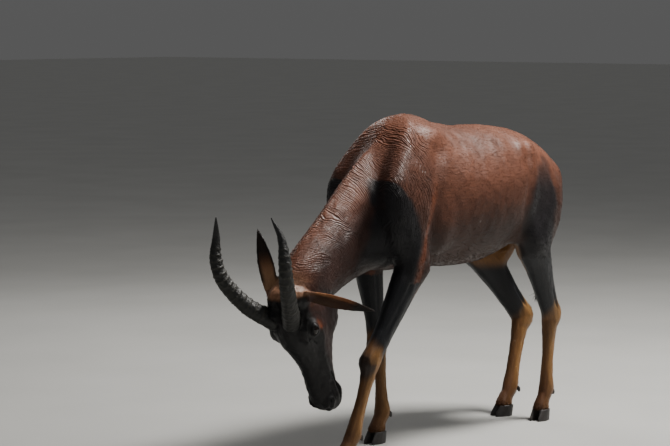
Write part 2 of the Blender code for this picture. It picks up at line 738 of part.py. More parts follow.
def main():
    for leftover in list(bpy.data.objects):
        bpy.data.objects.remove(leftover)
    shapes = [trunk_shape(), neck_shape(), head_shape()]
    shapes += head_masses() + body_masses()
    shapes += [leg_shape(name) for name in LEGS]
    flesh = fuse("flesh", shapes, VOXEL)
    relax(flesh, 45, 0.6, 0.0, rounding)
    relax(flesh, 8, 0.6, 0.62, lambda points: np.ones(len(points)))
    thin(flesh, FLESH_TRIANGLES, fineness)

    bodies = [horn(side) for side in SIDES] + [eye(side) for side in SIDES]
    bodies += [ear(name) for name in EARS] + [tail_shape()]
    for leg in LEGS:
        bodies += dewclaws(leg)
    carve(flesh, box("floor", *BELOW_CORONETS))
    for body in bodies:
        carve(flesh, grown(body, GAP))
    for name in CUTS:
        carve(flesh, cut_slab(*CUTS[name]))
    bodies += split(flesh, MIDDLES)
    for leg in LEGS:
        bodies += claws(leg)
    centre_footprint(bodies)
    for body in bodies:
        paint(body)


main()
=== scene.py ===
"""Topi antelope, life size, standing with its head lowered to graze: a museum model dressed over its solids.

Metres, +Z up. The head is towards -X and the animal's left side towards -Y.
Places on the body are measured from the point on the floor under the withers, x aft and z up.
Places on the head are measured along the muzzle, towards the forehead and towards the left cheek.
"""

import json
import math
from contextlib import contextmanager

import bpy
import numpy as np
from mathutils import Matrix, Vector

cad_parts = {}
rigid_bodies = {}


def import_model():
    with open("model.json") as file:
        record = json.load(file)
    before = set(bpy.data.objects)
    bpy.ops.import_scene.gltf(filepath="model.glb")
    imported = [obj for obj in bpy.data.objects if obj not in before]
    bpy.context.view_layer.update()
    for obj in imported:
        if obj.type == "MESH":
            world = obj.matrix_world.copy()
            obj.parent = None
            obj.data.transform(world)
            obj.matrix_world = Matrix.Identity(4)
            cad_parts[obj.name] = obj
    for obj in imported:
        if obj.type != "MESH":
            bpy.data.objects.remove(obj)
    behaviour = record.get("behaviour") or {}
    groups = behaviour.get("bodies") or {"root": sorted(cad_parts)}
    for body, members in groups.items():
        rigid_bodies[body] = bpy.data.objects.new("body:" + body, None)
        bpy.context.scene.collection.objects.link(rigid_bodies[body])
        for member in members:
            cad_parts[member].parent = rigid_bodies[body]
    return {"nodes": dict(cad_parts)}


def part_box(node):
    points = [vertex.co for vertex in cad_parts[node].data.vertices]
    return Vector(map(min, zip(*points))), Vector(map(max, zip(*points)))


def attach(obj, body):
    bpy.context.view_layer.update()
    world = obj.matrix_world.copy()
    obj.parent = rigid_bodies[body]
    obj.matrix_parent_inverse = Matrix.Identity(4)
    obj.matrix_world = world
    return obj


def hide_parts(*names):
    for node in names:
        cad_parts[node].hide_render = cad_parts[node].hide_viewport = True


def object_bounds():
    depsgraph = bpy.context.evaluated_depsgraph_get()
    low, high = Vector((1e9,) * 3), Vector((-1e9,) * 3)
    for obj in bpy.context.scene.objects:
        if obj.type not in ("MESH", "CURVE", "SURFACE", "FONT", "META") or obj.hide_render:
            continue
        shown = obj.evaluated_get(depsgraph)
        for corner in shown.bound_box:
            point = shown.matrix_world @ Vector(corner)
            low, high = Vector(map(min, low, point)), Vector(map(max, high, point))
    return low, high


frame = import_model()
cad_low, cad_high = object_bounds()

# ---- the solids that the one skin stands for, and the grain of the work ----
LEGS = ("foreleg_left", "foreleg_right", "hindleg_left", "hindleg_right")
EARS = ("ear_left", "ear_right")
REGIONS = ("trunk", "neck", "head", "tail") + EARS + LEGS
NUMBER = {region: number for number, region in enumerate(REGIONS)}
SIDES = {"left": -1.0, "right": 1.0}  # which way along Y
SKIN_GRAIN = 0.0027
SKIN_TRIANGLES = 194_000
SKIN_FOOT = 0.0435  # where the skin ends, inside the tops of the hooves
OVERLAP, EAR_OVERLAP = 0.0011, 0.0016  # how much each solid is grown before they are merged
HEAD_HAIR, MORE_HAIR = 0.0014, 0.0007  # depth of coat that the skin leaves room for, and what the body adds
INSET = 0.0003  # how far everything keeps inside the solids' box
TUFT_SHARE = 1.0
TUFTS_IN_A_PIECE = 19_000
WELD = 1e-5  # points closer than this are one


# ---- frames of reference ----
def middle(node):
    """The middle of a CAD node's box."""
    low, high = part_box(node)
    return np.array((low + high) / 2)


def head_axes(tuck=23.0, turn=4.5, tilt=2.7):
    """Unit vectors along the muzzle, towards the forehead and towards the left cheek."""
    tuck, turn, tilt = (math.radians(angle) for angle in (tuck, turn, tilt))
    heading = np.array((-math.cos(turn), -math.sin(turn), 0.0))
    down = np.array((0.0, 0.0, -1.0))
    forehead = heading * math.cos(tuck) + down * math.sin(tuck)
    along = down * math.cos(tuck) - heading * math.sin(tuck)
    left = np.array((math.sin(turn), -math.cos(turn), 0.0))
    return (
        along * math.cos(tilt) + left * math.sin(tilt),
        forehead,
        left * math.cos(tilt) - along * math.sin(tilt),
    )


EYE_PLACE = (0.070, 0.057)  # along the muzzle and towards the forehead
HEAD_FROM_WITHERS = np.array((-0.532, 0.0, 0.585))
ALONG, FOREHEAD, LEFT = head_axes()
BETWEEN_EYES = (middle("eye_left") + middle("eye_right")) / 2
HEAD_AT = BETWEEN_EYES - EYE_PLACE[0] * ALONG - EYE_PLACE[1] * FOREHEAD
WITHERS = HEAD_AT - HEAD_FROM_WITHERS


def on_head(points):
    """Points of the model as places on the head."""
    return (points - HEAD_AT) @ np.array((ALONG, FOREHEAD, LEFT)).T


def head_point(along, forehead, left):
    """A place on the head as a point of the model."""
    return HEAD_AT + along * ALONG + forehead * FOREHEAD + left * LEFT


# ---- courses that the coat follows, from the withers ----
COURSES = {  # legs: shoulder or hip, knee or hock, fetlock, floor
    "foreleg_left": (
        (-0.088, -0.150, 0.700), (-0.298, -0.125, 0.358), (-0.382, -0.112, 0.112), (-0.425, -0.110, 0.0),
    ),
    "foreleg_right": (
        (0.012, 0.150, 0.705), (0.045, 0.118, 0.358), (0.046, 0.100, 0.112), (0.002, 0.098, 0.0),
    ),
    "hindleg_left": (
        (0.640, -0.150, 0.735), (0.832, -0.112, 0.406), (0.818, -0.105, 0.118), (0.770, -0.105, 0.0),
    ),
    "hindleg_right": (
        (0.640, 0.140, 0.725), (0.902, 0.075, 0.380), (0.812, 0.062, 0.112), (0.750, 0.070, 0.0),
    ),
    "trunk": ((-0.20, 0.0, 0.93), (1.02, 0.0, 0.93)),
    "neck": ((-0.56, 0.0, 0.60), (-0.42, 0.0, 0.715), (-0.23, 0.0, 0.825), (-0.02, 0.0, 0.93)),
    "tail": (
        (0.915, 0.000, 0.985), (0.968, 0.001, 0.968), (1.004, 0.006, 0.925), (1.014, 0.014, 0.860),
        (1.008, 0.022, 0.775), (0.994, 0.030, 0.690), (0.982, 0.036, 0.590), (0.976, 0.041, 0.480),
    ),
}
HEAD_COURSE = ((-0.08, 0.0), (0.10, 0.0), (0.42, 0.02))  # along the muzzle, towards the forehead
TURN_SIDES = {"trunk": (0.0, 0.0, 1.0), "neck": (0.0, 0.0, 1.0), "tail": (1.0, 0.0, 0.0)}
EAR_COURSES = {  # root on the head, direction, side that the cup faces
    "ear_left": ((-0.056, 0.045, 0.066), (0.66, -0.73, -0.22), (-0.60, -0.45, -0.66)),
    "ear_right": ((-0.048, 0.060, -0.058), (0.030, 0.32, 0.95), (-0.95, -0.25, 0.10)),
}
EAR_LENGTH = 0.25
EAR_WIDTHS = ((0.0, 0.16, 0.42, 0.68, 0.88, 1.0), (0.021, 0.028, 0.034, 0.027, 0.014, 0.003))  # half widths


def course_of(region):
    """The middle line of a region, and the side from which turns round it are counted."""
    if region == "head":
        return np.array([head_point(a, f, 0.0) for a, f in HEAD_COURSE]), FOREHEAD
    if region in EARS:
        root, direction, facing = EAR_COURSES[region]
        out = np.array(direction) / np.linalg.norm(direction)
        start = head_point(*root)
        return np.array((start, start + out * EAR_LENGTH)), -np.array(facing)
    return np.array(COURSES[region]) + WITHERS, np.array(TURN_SIDES.get(region, (-1.0, 0.0, 0.0)))


def nearest_on(points, course):
    """For each point: distance to the course, way along it, nearest place on it and the run there."""
    course = np.asarray(course, float)
    best = np.full(len(points), np.inf)
    along = np.zeros(len(points))
    place, run = np.zeros_like(points), np.zeros_like(points)
    passed = 0.0
    for start, end in zip(course, course[1:]):
        span = end - start
        length = np.linalg.norm(span)
        share = np.clip((points - start) @ span / length**2, 0, 1)
        near = start + share[:, None] * span
        distance = lengths(points - near)
        closer = distance < best
        best[closer] = distance[closer]
        along[closer] = passed + share[closer] * length
        place[closer] = near[closer]
        run[closer] = span / length
        passed += length
    return best, along, place, run


def lengths(rows):
    """The length of each row."""
    return np.linalg.norm(rows, axis=1)


def stops_of(course):
    """How far along a course each of its points lies."""
    return np.concatenate(([0.0], np.cumsum(lengths(np.diff(np.asarray(course, float), axis=0)))))


def line_length(line):
    """The length of a course."""
    return lengths(np.diff(line, axis=0)).sum()


def joint_of(leg):
    """How far down a leg's course its knee or hock lies."""
    return np.linalg.norm(np.diff(np.array(COURSES[leg])[:2], axis=0))


def step(value, start, end):
    """From 0 at start to 1 at end, with a soft foot and shoulder."""
    share = np.clip((value - start) / (end - start), 0, 1)
    return share * share * (3 - 2 * share)


def hump(value, width):
    """1 where the value is 0, falling away to both sides over this width."""
    return np.exp(-((value / width) ** 2))


def unit(vectors):
    """Each row made one long."""
    return vectors / np.maximum(np.linalg.norm(vectors, axis=1, keepdims=True), 1e-12)


def waves(points, size, seed, count=16):
    """A smooth random field, mostly from -1 to 1, with swells about this many metres across."""
    dice = np.random.default_rng(seed)
    directions = unit(dice.normal(size=(count, points.shape[1])))
    pitch = math.pi / size * dice.uniform(0.6, 1.5, count)
    phase = dice.uniform(0, math.tau, count)
    return np.sin(points @ (directions * pitch[:, None]).T + phase).sum(axis=1) * math.sqrt(1 / count)


def smooth_course(rows, steps):
    """A smooth curve through rows of numbers."""
    table = np.array(rows, float)
    padded = np.vstack((2 * table[0] - table[1], table, 2 * table[-1] - table[-2]))
    result = []
    for a, b, c, d in zip(padded, padded[1:], padded[2:], padded[3:]):
        for t in np.linspace(0, 1, steps, endpoint=False):
            bend = (2 * a - 5 * b + 4 * c - d) * t**2 + (3 * b - a - 3 * c + d) * t**3
            result.append(0.5 * (2 * b + (c - a) * t + bend))
    return np.array(result + [table[-1]])


# where the head gives way to the neck and the neck to the trunk: a point and the way ahead
POLL_CUT = (np.array((-0.515, 0.0, 0.648)), np.array((-0.30, 0.0, -0.954)))
WITHERS_CUT = (np.array((-0.190, 0.0, 0.915)), np.array((-0.943, 0.0, 0.334)))


def region_numbers(points):
    """Which region each point of the skin belongs to, as a number in REGIONS."""
    body = points - WITHERS
    x, y, z = body.T
    number = np.zeros(len(points), int)
    number[(body - WITHERS_CUT[0]) @ WITHERS_CUT[1] > 0] = NUMBER["neck"]
    a, f, l = on_head(points).T
    muzzle = (np.abs(l) < 0.072) & (f > -0.10) & (a > 0.12) & (a < 0.45)
    past_poll = ((body - POLL_CUT[0]) @ POLL_CUT[1] > 0) & (x < -0.36)
    number[muzzle | past_poll] = NUMBER["head"]
    for leg in LEGS:
        distance = nearest_on(points, course_of(leg)[0])[0]
        reach = 0.07 if leg == "foreleg_left" else 0.13
        top = 0.628 if leg.startswith("fore") else 0.652
        near = (distance < np.where(z > 0.5, 0.13, reach)) & (z < top)
        near &= y * (-1 if leg.endswith("left") else 1) > (-0.02 if "hind" in leg else 0.0)
        if leg == "foreleg_left":
            near &= (distance < 0.07) | (x > -0.36)
        number[near & ~muzzle] = NUMBER[leg]
    distance = nearest_on(points, course_of("tail")[0])[0]
    number[(distance < 0.035) & (x > 0.925)] = NUMBER["tail"]
    for ear in EARS:
        distance, along, _, _ = nearest_on(points, course_of(ear)[0])
        number[(distance < 0.045) & (along > 0.035)] = NUMBER[ear]
    return number


def by_region(numbers):
    """Which points belong to each region."""
    return {region: numbers == number for region, number in NUMBER.items()}


def charted(points, numbers):
    """Turn round the region's course, way along it, and the run of the course, for each point."""
    turn, way = np.zeros(len(points)), np.zeros(len(points))
    runs = np.zeros_like(points)
    for region, chosen in by_region(numbers).items():
        if not chosen.any():
            continue
        course, side = course_of(region)
        _, way[chosen], place, run = nearest_on(points[chosen], course)
        first = unit(side - run * (run @ side)[:, None])
        second = np.cross(run, first)
        arm = points[chosen] - place
        turn[chosen] = np.arctan2((arm * second).sum(axis=1), (arm * first).sum(axis=1))
        runs[chosen] = run
    return turn, way, runs


# ---- mesh helpers ----
def pick(*pieces):
    """Selects these pieces alone; the first is active."""
    bpy.ops.object.select_all(action="DESELECT")
    for piece in pieces:
        piece.select_set(True)
    bpy.context.view_layer.objects.active = pieces[0]


def apply_modifier(piece, kind, **settings):
    """Adds a modifier with these settings and applies it."""
    modifier = piece.modifiers.new(kind.lower(), kind)
    for key, value in settings.items():
        setattr(modifier, key, value)
    pick(piece)
    bpy.ops.object.modifier_apply(modifier=modifier.name)


def read_rows(items, key, width, kind=float):
    """One property of all these elements of a mesh, as rows of an array."""
    values = np.empty(len(items) * width, kind)
    items.foreach_get(key, values)
    return values.reshape(-1, width)


def points_of(mesh):
    """The mesh's points."""
    return read_rows(mesh.vertices, "co", 3)


def normals_of(mesh):
    """The normals at the mesh's points."""
    return read_rows(mesh.vertex_normals, "vector", 3, np.float32).astype(float)


def triangles_of(mesh):
    """The three points of each face of a triangulated mesh."""
    return read_rows(mesh.loops, "vertex_index", 1, int).reshape(-1, 3)


def put_points(mesh, points):
    """Writes an array back as the mesh's points."""
    mesh.vertices.foreach_set("co", points.ravel())
    mesh.update()


def links_of(mesh):
    """The two ends of every edge, and how many edges meet at each point."""
    first, second = read_rows(mesh.edges, "vertices", 2, int).T
    ends = [np.bincount(end, minlength=len(mesh.vertices)) for end in (first, second)]
    return first, second, np.maximum(sum(ends), 1)


def neighbour_mean(values, links):
    """The mean of each point's neighbours."""
    first, second, degree = links
    total = np.zeros_like(values)
    for axis in range(values.shape[1]):
        total[:, axis] = np.bincount(first, values[second, axis], len(values))
        total[:, axis] += np.bincount(second, values[first, axis], len(values))
    return total / degree[:, None]


def soften(values, links, rounds, pull, push=0.0):
    """Pulls every value towards its neighbours' mean, and pushes it back out by a little if asked."""
    for _ in range(rounds):
        for factor in (pull, -push):
            if factor:
                values = values + factor * (neighbour_mean(values, links) - values)
    return values


@contextmanager
def editing(piece):
    """Opens a piece for editing, all of it selected, and closes it afterwards."""
    pick(piece)
    bpy.ops.object.mode_set(mode="EDIT")
    bpy.ops.mesh.select_all(action="SELECT")
    yield
    bpy.ops.object.mode_set(mode="OBJECT")


def face_outwards(piece):
    """Turns every face of a closed piece outwards."""
    with editing(piece):
        bpy.ops.mesh.normals_make_consistent(inside=False)


def new_piece(name, mesh):
    """A named object at the origin that holds this mesh."""
    piece = bpy.data.objects.new(name, mesh)
    bpy.context.scene.collection.objects.link(piece)
    return piece


def solid_copy(node, name):
    """A copy of a CAD node with its doubled points merged."""
    piece = new_piece(name, frame["nodes"][node].data.copy())
    with editing(piece):
        bpy.ops.mesh.remove_doubles(threshold=WELD)
    return piece


def primitive(name, make, **settings):
    """A new piece that starts from one of Blender's plain shapes."""
    bpy.ops.object.select_all(action="DESELECT")
    make(**settings)
    piece = bpy.context.object
    piece.name = piece.data.name = name
    return piece


def finish_piece(piece, material, replaces=(), smooth=True):
    """Gives a piece its material and smooth or flat faces, and ties it to the solids."""
    piece.data.materials.clear()
    piece.data.materials.append(material)
    if smooth:
        piece.data.shade_smooth()
    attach(piece, "root")
    if replaces:
        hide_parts(*replaces)
    return piece


# ---- colours ----
def linear(hexadecimal):
    """An sRGB hex colour as linear red, green, blue."""
    channels = (int(hexadecimal[i : i + 2], 16) / 255 for i in (0, 2, 4))
    return np.array([c / 12.92 if c <= 0.04045 else ((c + 0.055) / 1.055) ** 2.4 for c in channels])


CHESTNUT = linear("643C2B")  # back, ribs and crest
BELLY_DARK_AND_SHADE = linear("24150E")  # belly and throat, where the coat deepens, and painted shade over the lower flank
UMBER = linear("2C1A16")  # lower side of the neck
BLUE_BLACK = linear("0C0E12")  # shoulder, thigh, upper legs
FACE_BLACK = linear("080708")
PLUM = linear("2B1916")  # cheek
CHEEK_BROWN = linear("482A20")  # cheek near the ear
JAW = linear("181213")
RUST = linear("70391D")  # rim of the shoulder, where it is painted highlight; patch behind the eye
TAN = linear("A06C44")  # left ear
EAR_PALE = linear("A8805F")  # right ear, seen from inside
EAR_RUST = linear("6A3820")  # further out along the ears
# painted shade on the underside of the left ear
EAR_UNDER_SHADE = linear("24150F")
POLL_TAN = linear("A87A5C")  # crown behind the horns
SHIN = linear("7C5930")  # lower legs
FETLOCK = linear("402314")
OCHRE = linear("75502A")  # groin
SHIN_FRONT_SHADE = linear("52351E")  # painted shade on the fronts of the shins
TIP_BLACK = linear("0F0D0D")  # ends of the ears and the tail
TAIL_ROOT = linear("3A2018")


def blended(colour, other, share):
    """Part of the way from one colour to another, point by point."""
    return colour + (other - colour) * share[:, None]


def leg_shift(body):
    """How much further aft the right shoulder stands than the left, for marks given for the left one."""
    _, y, z = body.T
    return np.where(y > 0, 0.10 * step(z, 1.12, 0.62), 0.0)


def on_flank(body):
    """Places on the flank as on the left side, aft of the withers and up."""
    x, _, z = body.T
    return np.stack((x - leg_shift(body), z), axis=1)


def within(places, course, radii, soft=0.18):
    """Share of being inside a chain of balls of these radii, with a soft edge."""
    distance, along, _, _ = nearest_on(places, course)
    reach = distance / np.interp(along, stops_of(course), radii)
    return step(reach, 1 + soft, 1 - soft)


# courses on the flank from the withers (x, z), and their half widths
SHOULDER_PATCH = (
    ((-0.216, 0.985), (-0.205, 0.920), (-0.186, 0.850), (-0.182, 0.780), (-0.205, 0.700), (-0.215, 0.610)),
    (0.016, 0.044, 0.072, 0.085, 0.096, 0.110),
)
THIGH_PATCH = (
    ((0.740, 1.010), (0.705, 0.960), (0.680, 0.890), (0.655, 0.820), (0.650, 0.740), (0.670, 0.640)),
    (0.030, 0.078, 0.110, 0.104, 0.098, 0.110),
)
TRICEPS_RIM = ((0.030, 1.06), (0.004, 0.955), (-0.016, 0.866), (-0.054, 0.78), (-0.092, 0.70), (-0.105, 0.64))


def coat_colours(points, normals, numbers):
    """The markings of skin and coat, as linear colours."""
    body = points - WITHERS
    x, y, z = body.T
    a, f, l = on_head(points).T
    named = by_region(numbers)
    flat = on_flank(body)
    mottle, drift = waves(points, 0.05, 1), waves(points, 0.16, 2)
    ragged = flat + 0.004 * np.stack((waves(points, 0.030, 3), waves(points, 0.030, 4)), axis=1)
    outward = normals[:, 1] * np.sign(y)
    flank = (named["trunk"] | named["neck"]) * step(np.abs(y), 0.03, 0.08)

    # trunk: deeper towards the belly and the rump; the darker lower flank is partly the deeper belly coat,
    # partly painted shade under the light from above
    low = step(z + 0.02 * drift, 1.10, 0.74)
    colour = blended(CHESTNUT, BELLY_DARK_AND_SHADE, 0.85 * low * named["trunk"])
    dusk = step(x, 0.72, 0.86) * step(z, 1.05, 0.85)
    colour = blended(colour, UMBER, 0.55 * dusk * named["trunk"])

    # neck: deeper towards the throat, tan by the crown
    below = (nearest_on(points, course_of("neck")[0])[2] - points)[:, 2]
    throat = step(below + 0.02 * drift, -0.115, -0.030)
    colour = blended(colour, UMBER, 0.90 * named["neck"] * throat)
    near_poll = step(lengths(points - head_point(-0.055, 0.065, 0.0)), 0.120, 0.055)
    colour = blended(colour, POLL_TAN, 0.70 * near_poll * (named["neck"] | named["head"]))

    # shoulder and thigh
    withers = step(flat[:, 0], 0.05, -0.03) * step(flat[:, 0], -0.34, -0.22)
    withers = withers * step(z + 0.012 * drift, 1.17, 1.02)
    colour = blended(colour, UMBER, 0.33 * flank * withers)
    colour = blended(colour, BLUE_BLACK, 0.95 * flank * within(ragged, *SHOULDER_PATCH, soft=0.25))
    thigh = within(ragged, *THIGH_PATCH, soft=0.30) * (0.45 + 0.55 * step(z, 1.06, 0.90))
    colour = blended(colour, BLUE_BLACK, 0.92 * flank * thigh)
    # painted highlight: the lower part of the shoulder's back edge is painted rust, as if lit from above and
    # behind
    rim = nearest_on(flat, TRICEPS_RIM)[0] + 0.004 * mottle
    rim_line = np.array(TRICEPS_RIM[::-1])
    behind_arm = flat[:, 0] - np.interp(flat[:, 1], rim_line[:, 1], rim_line[:, 0])
    rim_highlight = step(rim, 0.046, 0.014) * step(behind_arm, -0.050, -0.010) * step(behind_arm, 0.018, 0.002)
    colour = blended(colour, RUST, 0.48 * flank * rim_highlight * step(z, 1.02, 0.90))
    groin = named["trunk"] * step(z, 0.79, 0.71) * step(x, 0.46, 0.58)
    colour = blended(colour, OCHRE, 0.9 * (groin * step(outward, 0.1, -0.5)))

    # legs: blue-black down to knee and hock, tan below
    ahead = -normals[:, 0]
    for leg in LEGS:
        down = nearest_on(points, course_of(leg)[0])[1] - joint_of(leg) + 0.010 * mottle
        # the side of the shin that faces ahead is darkened: painted shade, away from the light behind
        shin = blended(SHIN, SHIN_FRONT_SHADE, step(ahead, -0.2, 0.9) * 0.85)
        shin = blended(shin, FETLOCK, 0.6 * step(down, 0.20, 0.33))
        if leg.startswith("fore"):
            dark = step(down + 0.030 * step(ahead, -0.4, 0.5), -0.004, -0.052)
            knee = step(np.hypot(down - 0.022, 0.040 * (1 - ahead)), 0.062, 0.020) * (ahead > 0)
            leg_colour = blended(blended(shin, BLUE_BLACK, dark), BLUE_BLACK, 0.85 * knee)
            elbow = step(down, -0.24, -0.30) * step(normals[:, 0], 0.1, 0.7)
            leg_colour = blended(leg_colour, RUST, 0.7 * elbow)
        else:
            dark = step(down + 0.04 * step(ahead, 0.2, -0.8), 0.005, -0.060)
            inside = step(-outward, 0.1, 0.7) * step(z + 0.01 * drift, 0.585, 0.635)
            leg_colour = blended(blended(shin, BLUE_BLACK, dark), OCHRE, inside * 0.9)
        colour = blended(colour, leg_colour, named[leg])

    # head: black down the face, plum cheek, rust behind the eye
    stops = (-0.05, 0.05, 0.10, 0.18, 0.27, 0.34, 0.42)
    edge = np.interp(a, stops, (0.046, 0.028, 0.012, 0.005, -0.020, -0.06, -0.06))
    cheek = blended(PLUM, CHEEK_BROWN, 0.7 * step(a, 0.06, -0.04))
    cheek = blended(cheek, JAW, 0.7 * step(f, 0.00, -0.08))
    face = blended(cheek, FACE_BLACK, step(f - edge + 0.004 * mottle, -0.022, 0.018))
    nape = step(a + 0.3 * (f - 0.05) + 0.003 * mottle, -0.046, -0.066) * step(f, -0.01, 0.05)
    face = blended(face, POLL_TAN, 0.62 * nape)
    face = blended(face, FACE_BLACK, 0.85 * step(np.abs(a + 0.030), 0.028, 0.016) * step(f, 0.035, 0.055))
    behind_eye = np.hypot((a - 0.072) * 0.62, f - 0.020 + 0.25 * (a - 0.072)) + 0.003 * mottle
    behind_eye = step(behind_eye + 0.0025 * waves(points, 0.012, 5), 0.020, 0.004)
    face = blended(face, RUST, 0.60 * (behind_eye * step(np.abs(l), 0.04, 0.07)))
    face = blended(face, FACE_BLACK, step(a, 0.24, 0.32))
    colour = blended(colour, face, named["head"])

    # ears: tan, with dark tips and rims; the dark underside of the left ear is painted shade
    for ear in EARS:
        course, back = course_of(ear)
        _, way, place, run = nearest_on(points, course)
        share = way / EAR_LENGTH
        across = unit(np.cross(run, back / np.linalg.norm(back)))
        beside = ((points - place) * across).sum(axis=1) * np.sign(across[:, 2])
        beside = beside / np.interp(share, *EAR_WIDTHS)
        shade = blended(TAN if ear == "ear_left" else EAR_PALE, EAR_RUST, 0.6 * step(share, 0.25, 0.6))
        tip = share + 0.03 * mottle
        if ear == "ear_left":
            # painted shade along the lower edge of the left ear
            shade = blended(shade, EAR_UNDER_SHADE, 0.85 * step(beside, 0.55, 0.10))
            tip = step(tip, 0.58, 0.78)
        else:
            rim = step(np.abs(beside), 0.50, 0.85)
            shade = blended(shade, TIP_BLACK, 0.9 * rim * step(share, 0.15, 0.3))
            tip = step(tip, 0.42, 0.66)
        colour = blended(colour, blended(shade, TIP_BLACK, 0.95 * tip), named[ear])

    colour = blended(colour, blended(TAIL_ROOT, TIP_BLACK, step(z, 0.90, 0.66)), named["tail"])
    bright = 1 + 0.08 * mottle + 0.08 * drift
    return np.clip(colour * bright[:, None], 0.002, 0.9)


# ---- eyes and the skin round them ----
EYE_RADIUS = 0.0193
EYE_OPENING = (0.0168, 0.0118)  # half length and half height between the lids
LID_WIDTH = 0.0075
LID_THICKNESS = 0.0021
LID_SEAT = 0.0035  # how far the skin dips under the lids
LASHES = 34
LASH_LENGTH, LASH_WIDTH = 0.0105, 0.0006
LID_REACH = (EYE_OPENING[0] + LID_WIDTH, EYE_OPENING[1] + LID_WIDTH)


def eye_axes(side_name):
    """Which way the eye looks, along its slit, and up across it."""
    look = unit((-SIDES[side_name] * 0.93 * LEFT + 0.34 * FOREHEAD + 0.06 * ALONG)[None])[0]
    slit = 0.93 * ALONG + 0.28 * FOREHEAD
    slit = unit((slit - look * (slit @ look))[None])[0]
    up = np.cross(look, slit)
    return look, slit, up * np.sign(up @ FOREHEAD)


def by_eye(side_name, x, y, level):
    """Places round an eye (along the slit, across it, outwards) as points of the model."""
    look, slit, up = eye_axes(side_name)
    return middle(f"eye_{side_name}") + np.outer(x, slit) + np.outer(y, up) + np.outer(level, look)


def lid_level(reach):
    """Height of the lids' inner face over the eye's middle: on the ball, then falling away straight."""
    turn = 0.8 * EYE_RADIUS
    on_ball = np.sqrt(EYE_RADIUS**2 - np.minimum(reach, turn) ** 2)
    return np.where(reach < turn, on_ball, 0.6 * EYE_RADIUS - 0.9 * (reach - turn))


def seen_from_eye(points, side_name):
    """Places round an eye: along the slit, across it and outwards, and the reach from it in lid widths."""
    look, slit, up = eye_axes(side_name)
    offset = points - middle(f"eye_{side_name}")
    x, y, level = offset @ slit, offset @ up, offset @ look
    reach = np.hypot(x / LID_REACH[0], y / LID_REACH[1])
    reach[(level < -0.030) | (lengths(offset) > 0.075)] = 9.0
    return x, y, level, reach


def seat_eyes(points):
    """Draws the skin down round each eye, so that it meets the lids all round."""
    for side_name in SIDES:
        x, y, level, reach = seen_from_eye(points, side_name)
        wanted = lid_level(np.hypot(x, y)) - LID_SEAT * step(reach, 1.02, 0.80)
        move = step(reach, 2.4, 1.0) * step(level, -0.030, -0.010) * (wanted - level)
        points = points + move[:, None] * eye_axes(side_name)[0]
    return points


# ---- skin ----
def flesh_copy(name):
    """A merged copy of a CAD node, grown a little so that neighbours overlap."""
    piece = solid_copy(name, name + "_flesh")
    apply_modifier(piece, "DISPLACE", strength=EAR_OVERLAP if name in EARS else OVERLAP, mid_level=0.0)
    return piece


def roundness(body):
    """How much the flesh is rounded: fully on trunk and neck, hardly on head, legs and tail."""
    x, y, z = body.T
    share = np.interp(z, (0.56, 0.70, 0.82), (0.05, 0.5, 1.0))
    share = share * np.interp(x, (-0.50, -0.38, -0.25), (0.10, 0.6, 1.0))
    on_tail = (x > 0.93) & (np.hypot(x - 1.0, y - 0.02) < 0.06)
    return np.where(on_tail, 0.05, share)


STROKES = (  # half width, height (negative is a groove), course on the flank from the withers (x, z)
    (0.028, -0.0055, (
        (0.045, 1.09), (0.018, 1.043), (0.004, 0.955), (-0.014, 0.866),
        (-0.052, 0.78), (-0.094, 0.70), (-0.112, 0.64),
    )),
    (0.040, 0.0028, (
        (0.010, 1.09), (-0.020, 1.03), (-0.034, 0.95), (-0.052, 0.86), (-0.092, 0.78), (-0.130, 0.70),
    )),
    (0.030, 0.0050, ((-0.020, 1.19), (-0.092, 1.12), (-0.165, 1.03), (-0.192, 0.95), (-0.195, 0.87))),
    (0.034, -0.0045, ((-0.125, 1.13), (-0.205, 1.05), (-0.262, 0.97), (-0.285, 0.88), (-0.300, 0.80))),
    (0.020, -0.0022, ((-0.100, 1.01), (-0.125, 0.93), (-0.130, 0.86))),
    (0.016, -0.0030, ((-0.190, 0.84), (-0.145, 0.75), (-0.160, 0.67))),
    (0.020, -0.0050, (
        (0.600, 1.10), (0.578, 1.04), (0.575, 0.98), (0.552, 0.92),
        (0.534, 0.86), (0.537, 0.80), (0.548, 0.76),
    )),
    (0.028, 0.0050, ((0.640, 1.08), (0.618, 1.02), (0.606, 0.94), (0.585, 0.87), (0.590, 0.79))),
    (0.018, -0.0036, ((0.715, 1.06), (0.760, 0.97), (0.788, 0.89), (0.790, 0.80), (0.765, 0.72))),
    (0.014, -0.0030, ((0.850, 1.00), (0.862, 0.90), (0.855, 0.80), (0.830, 0.71))),
    (0.020, -0.0020, ((0.230, 1.13), (0.330, 1.10), (0.440, 1.095), (0.540, 1.09))),
    (0.012, -0.0030, ((0.500, 0.735), (0.470, 0.690), (0.430, 0.675))),
)
KNOBS = (  # place on the flank from the withers (x, z), half width, height
    ((-0.215, 0.800), 0.050, 0.0060),  # point of the shoulder
    ((-0.050, 0.672), 0.022, 0.0060),  # elbow
    ((0.598, 1.104), 0.034, 0.0048),  # hip bone
    ((0.500, 1.030), 0.050, -0.0045),  # flank hollow
    ((0.596, 0.745), 0.034, 0.0040),  # stifle
    ((0.880, 0.985), 0.030, 0.0035),  # seat bone
)
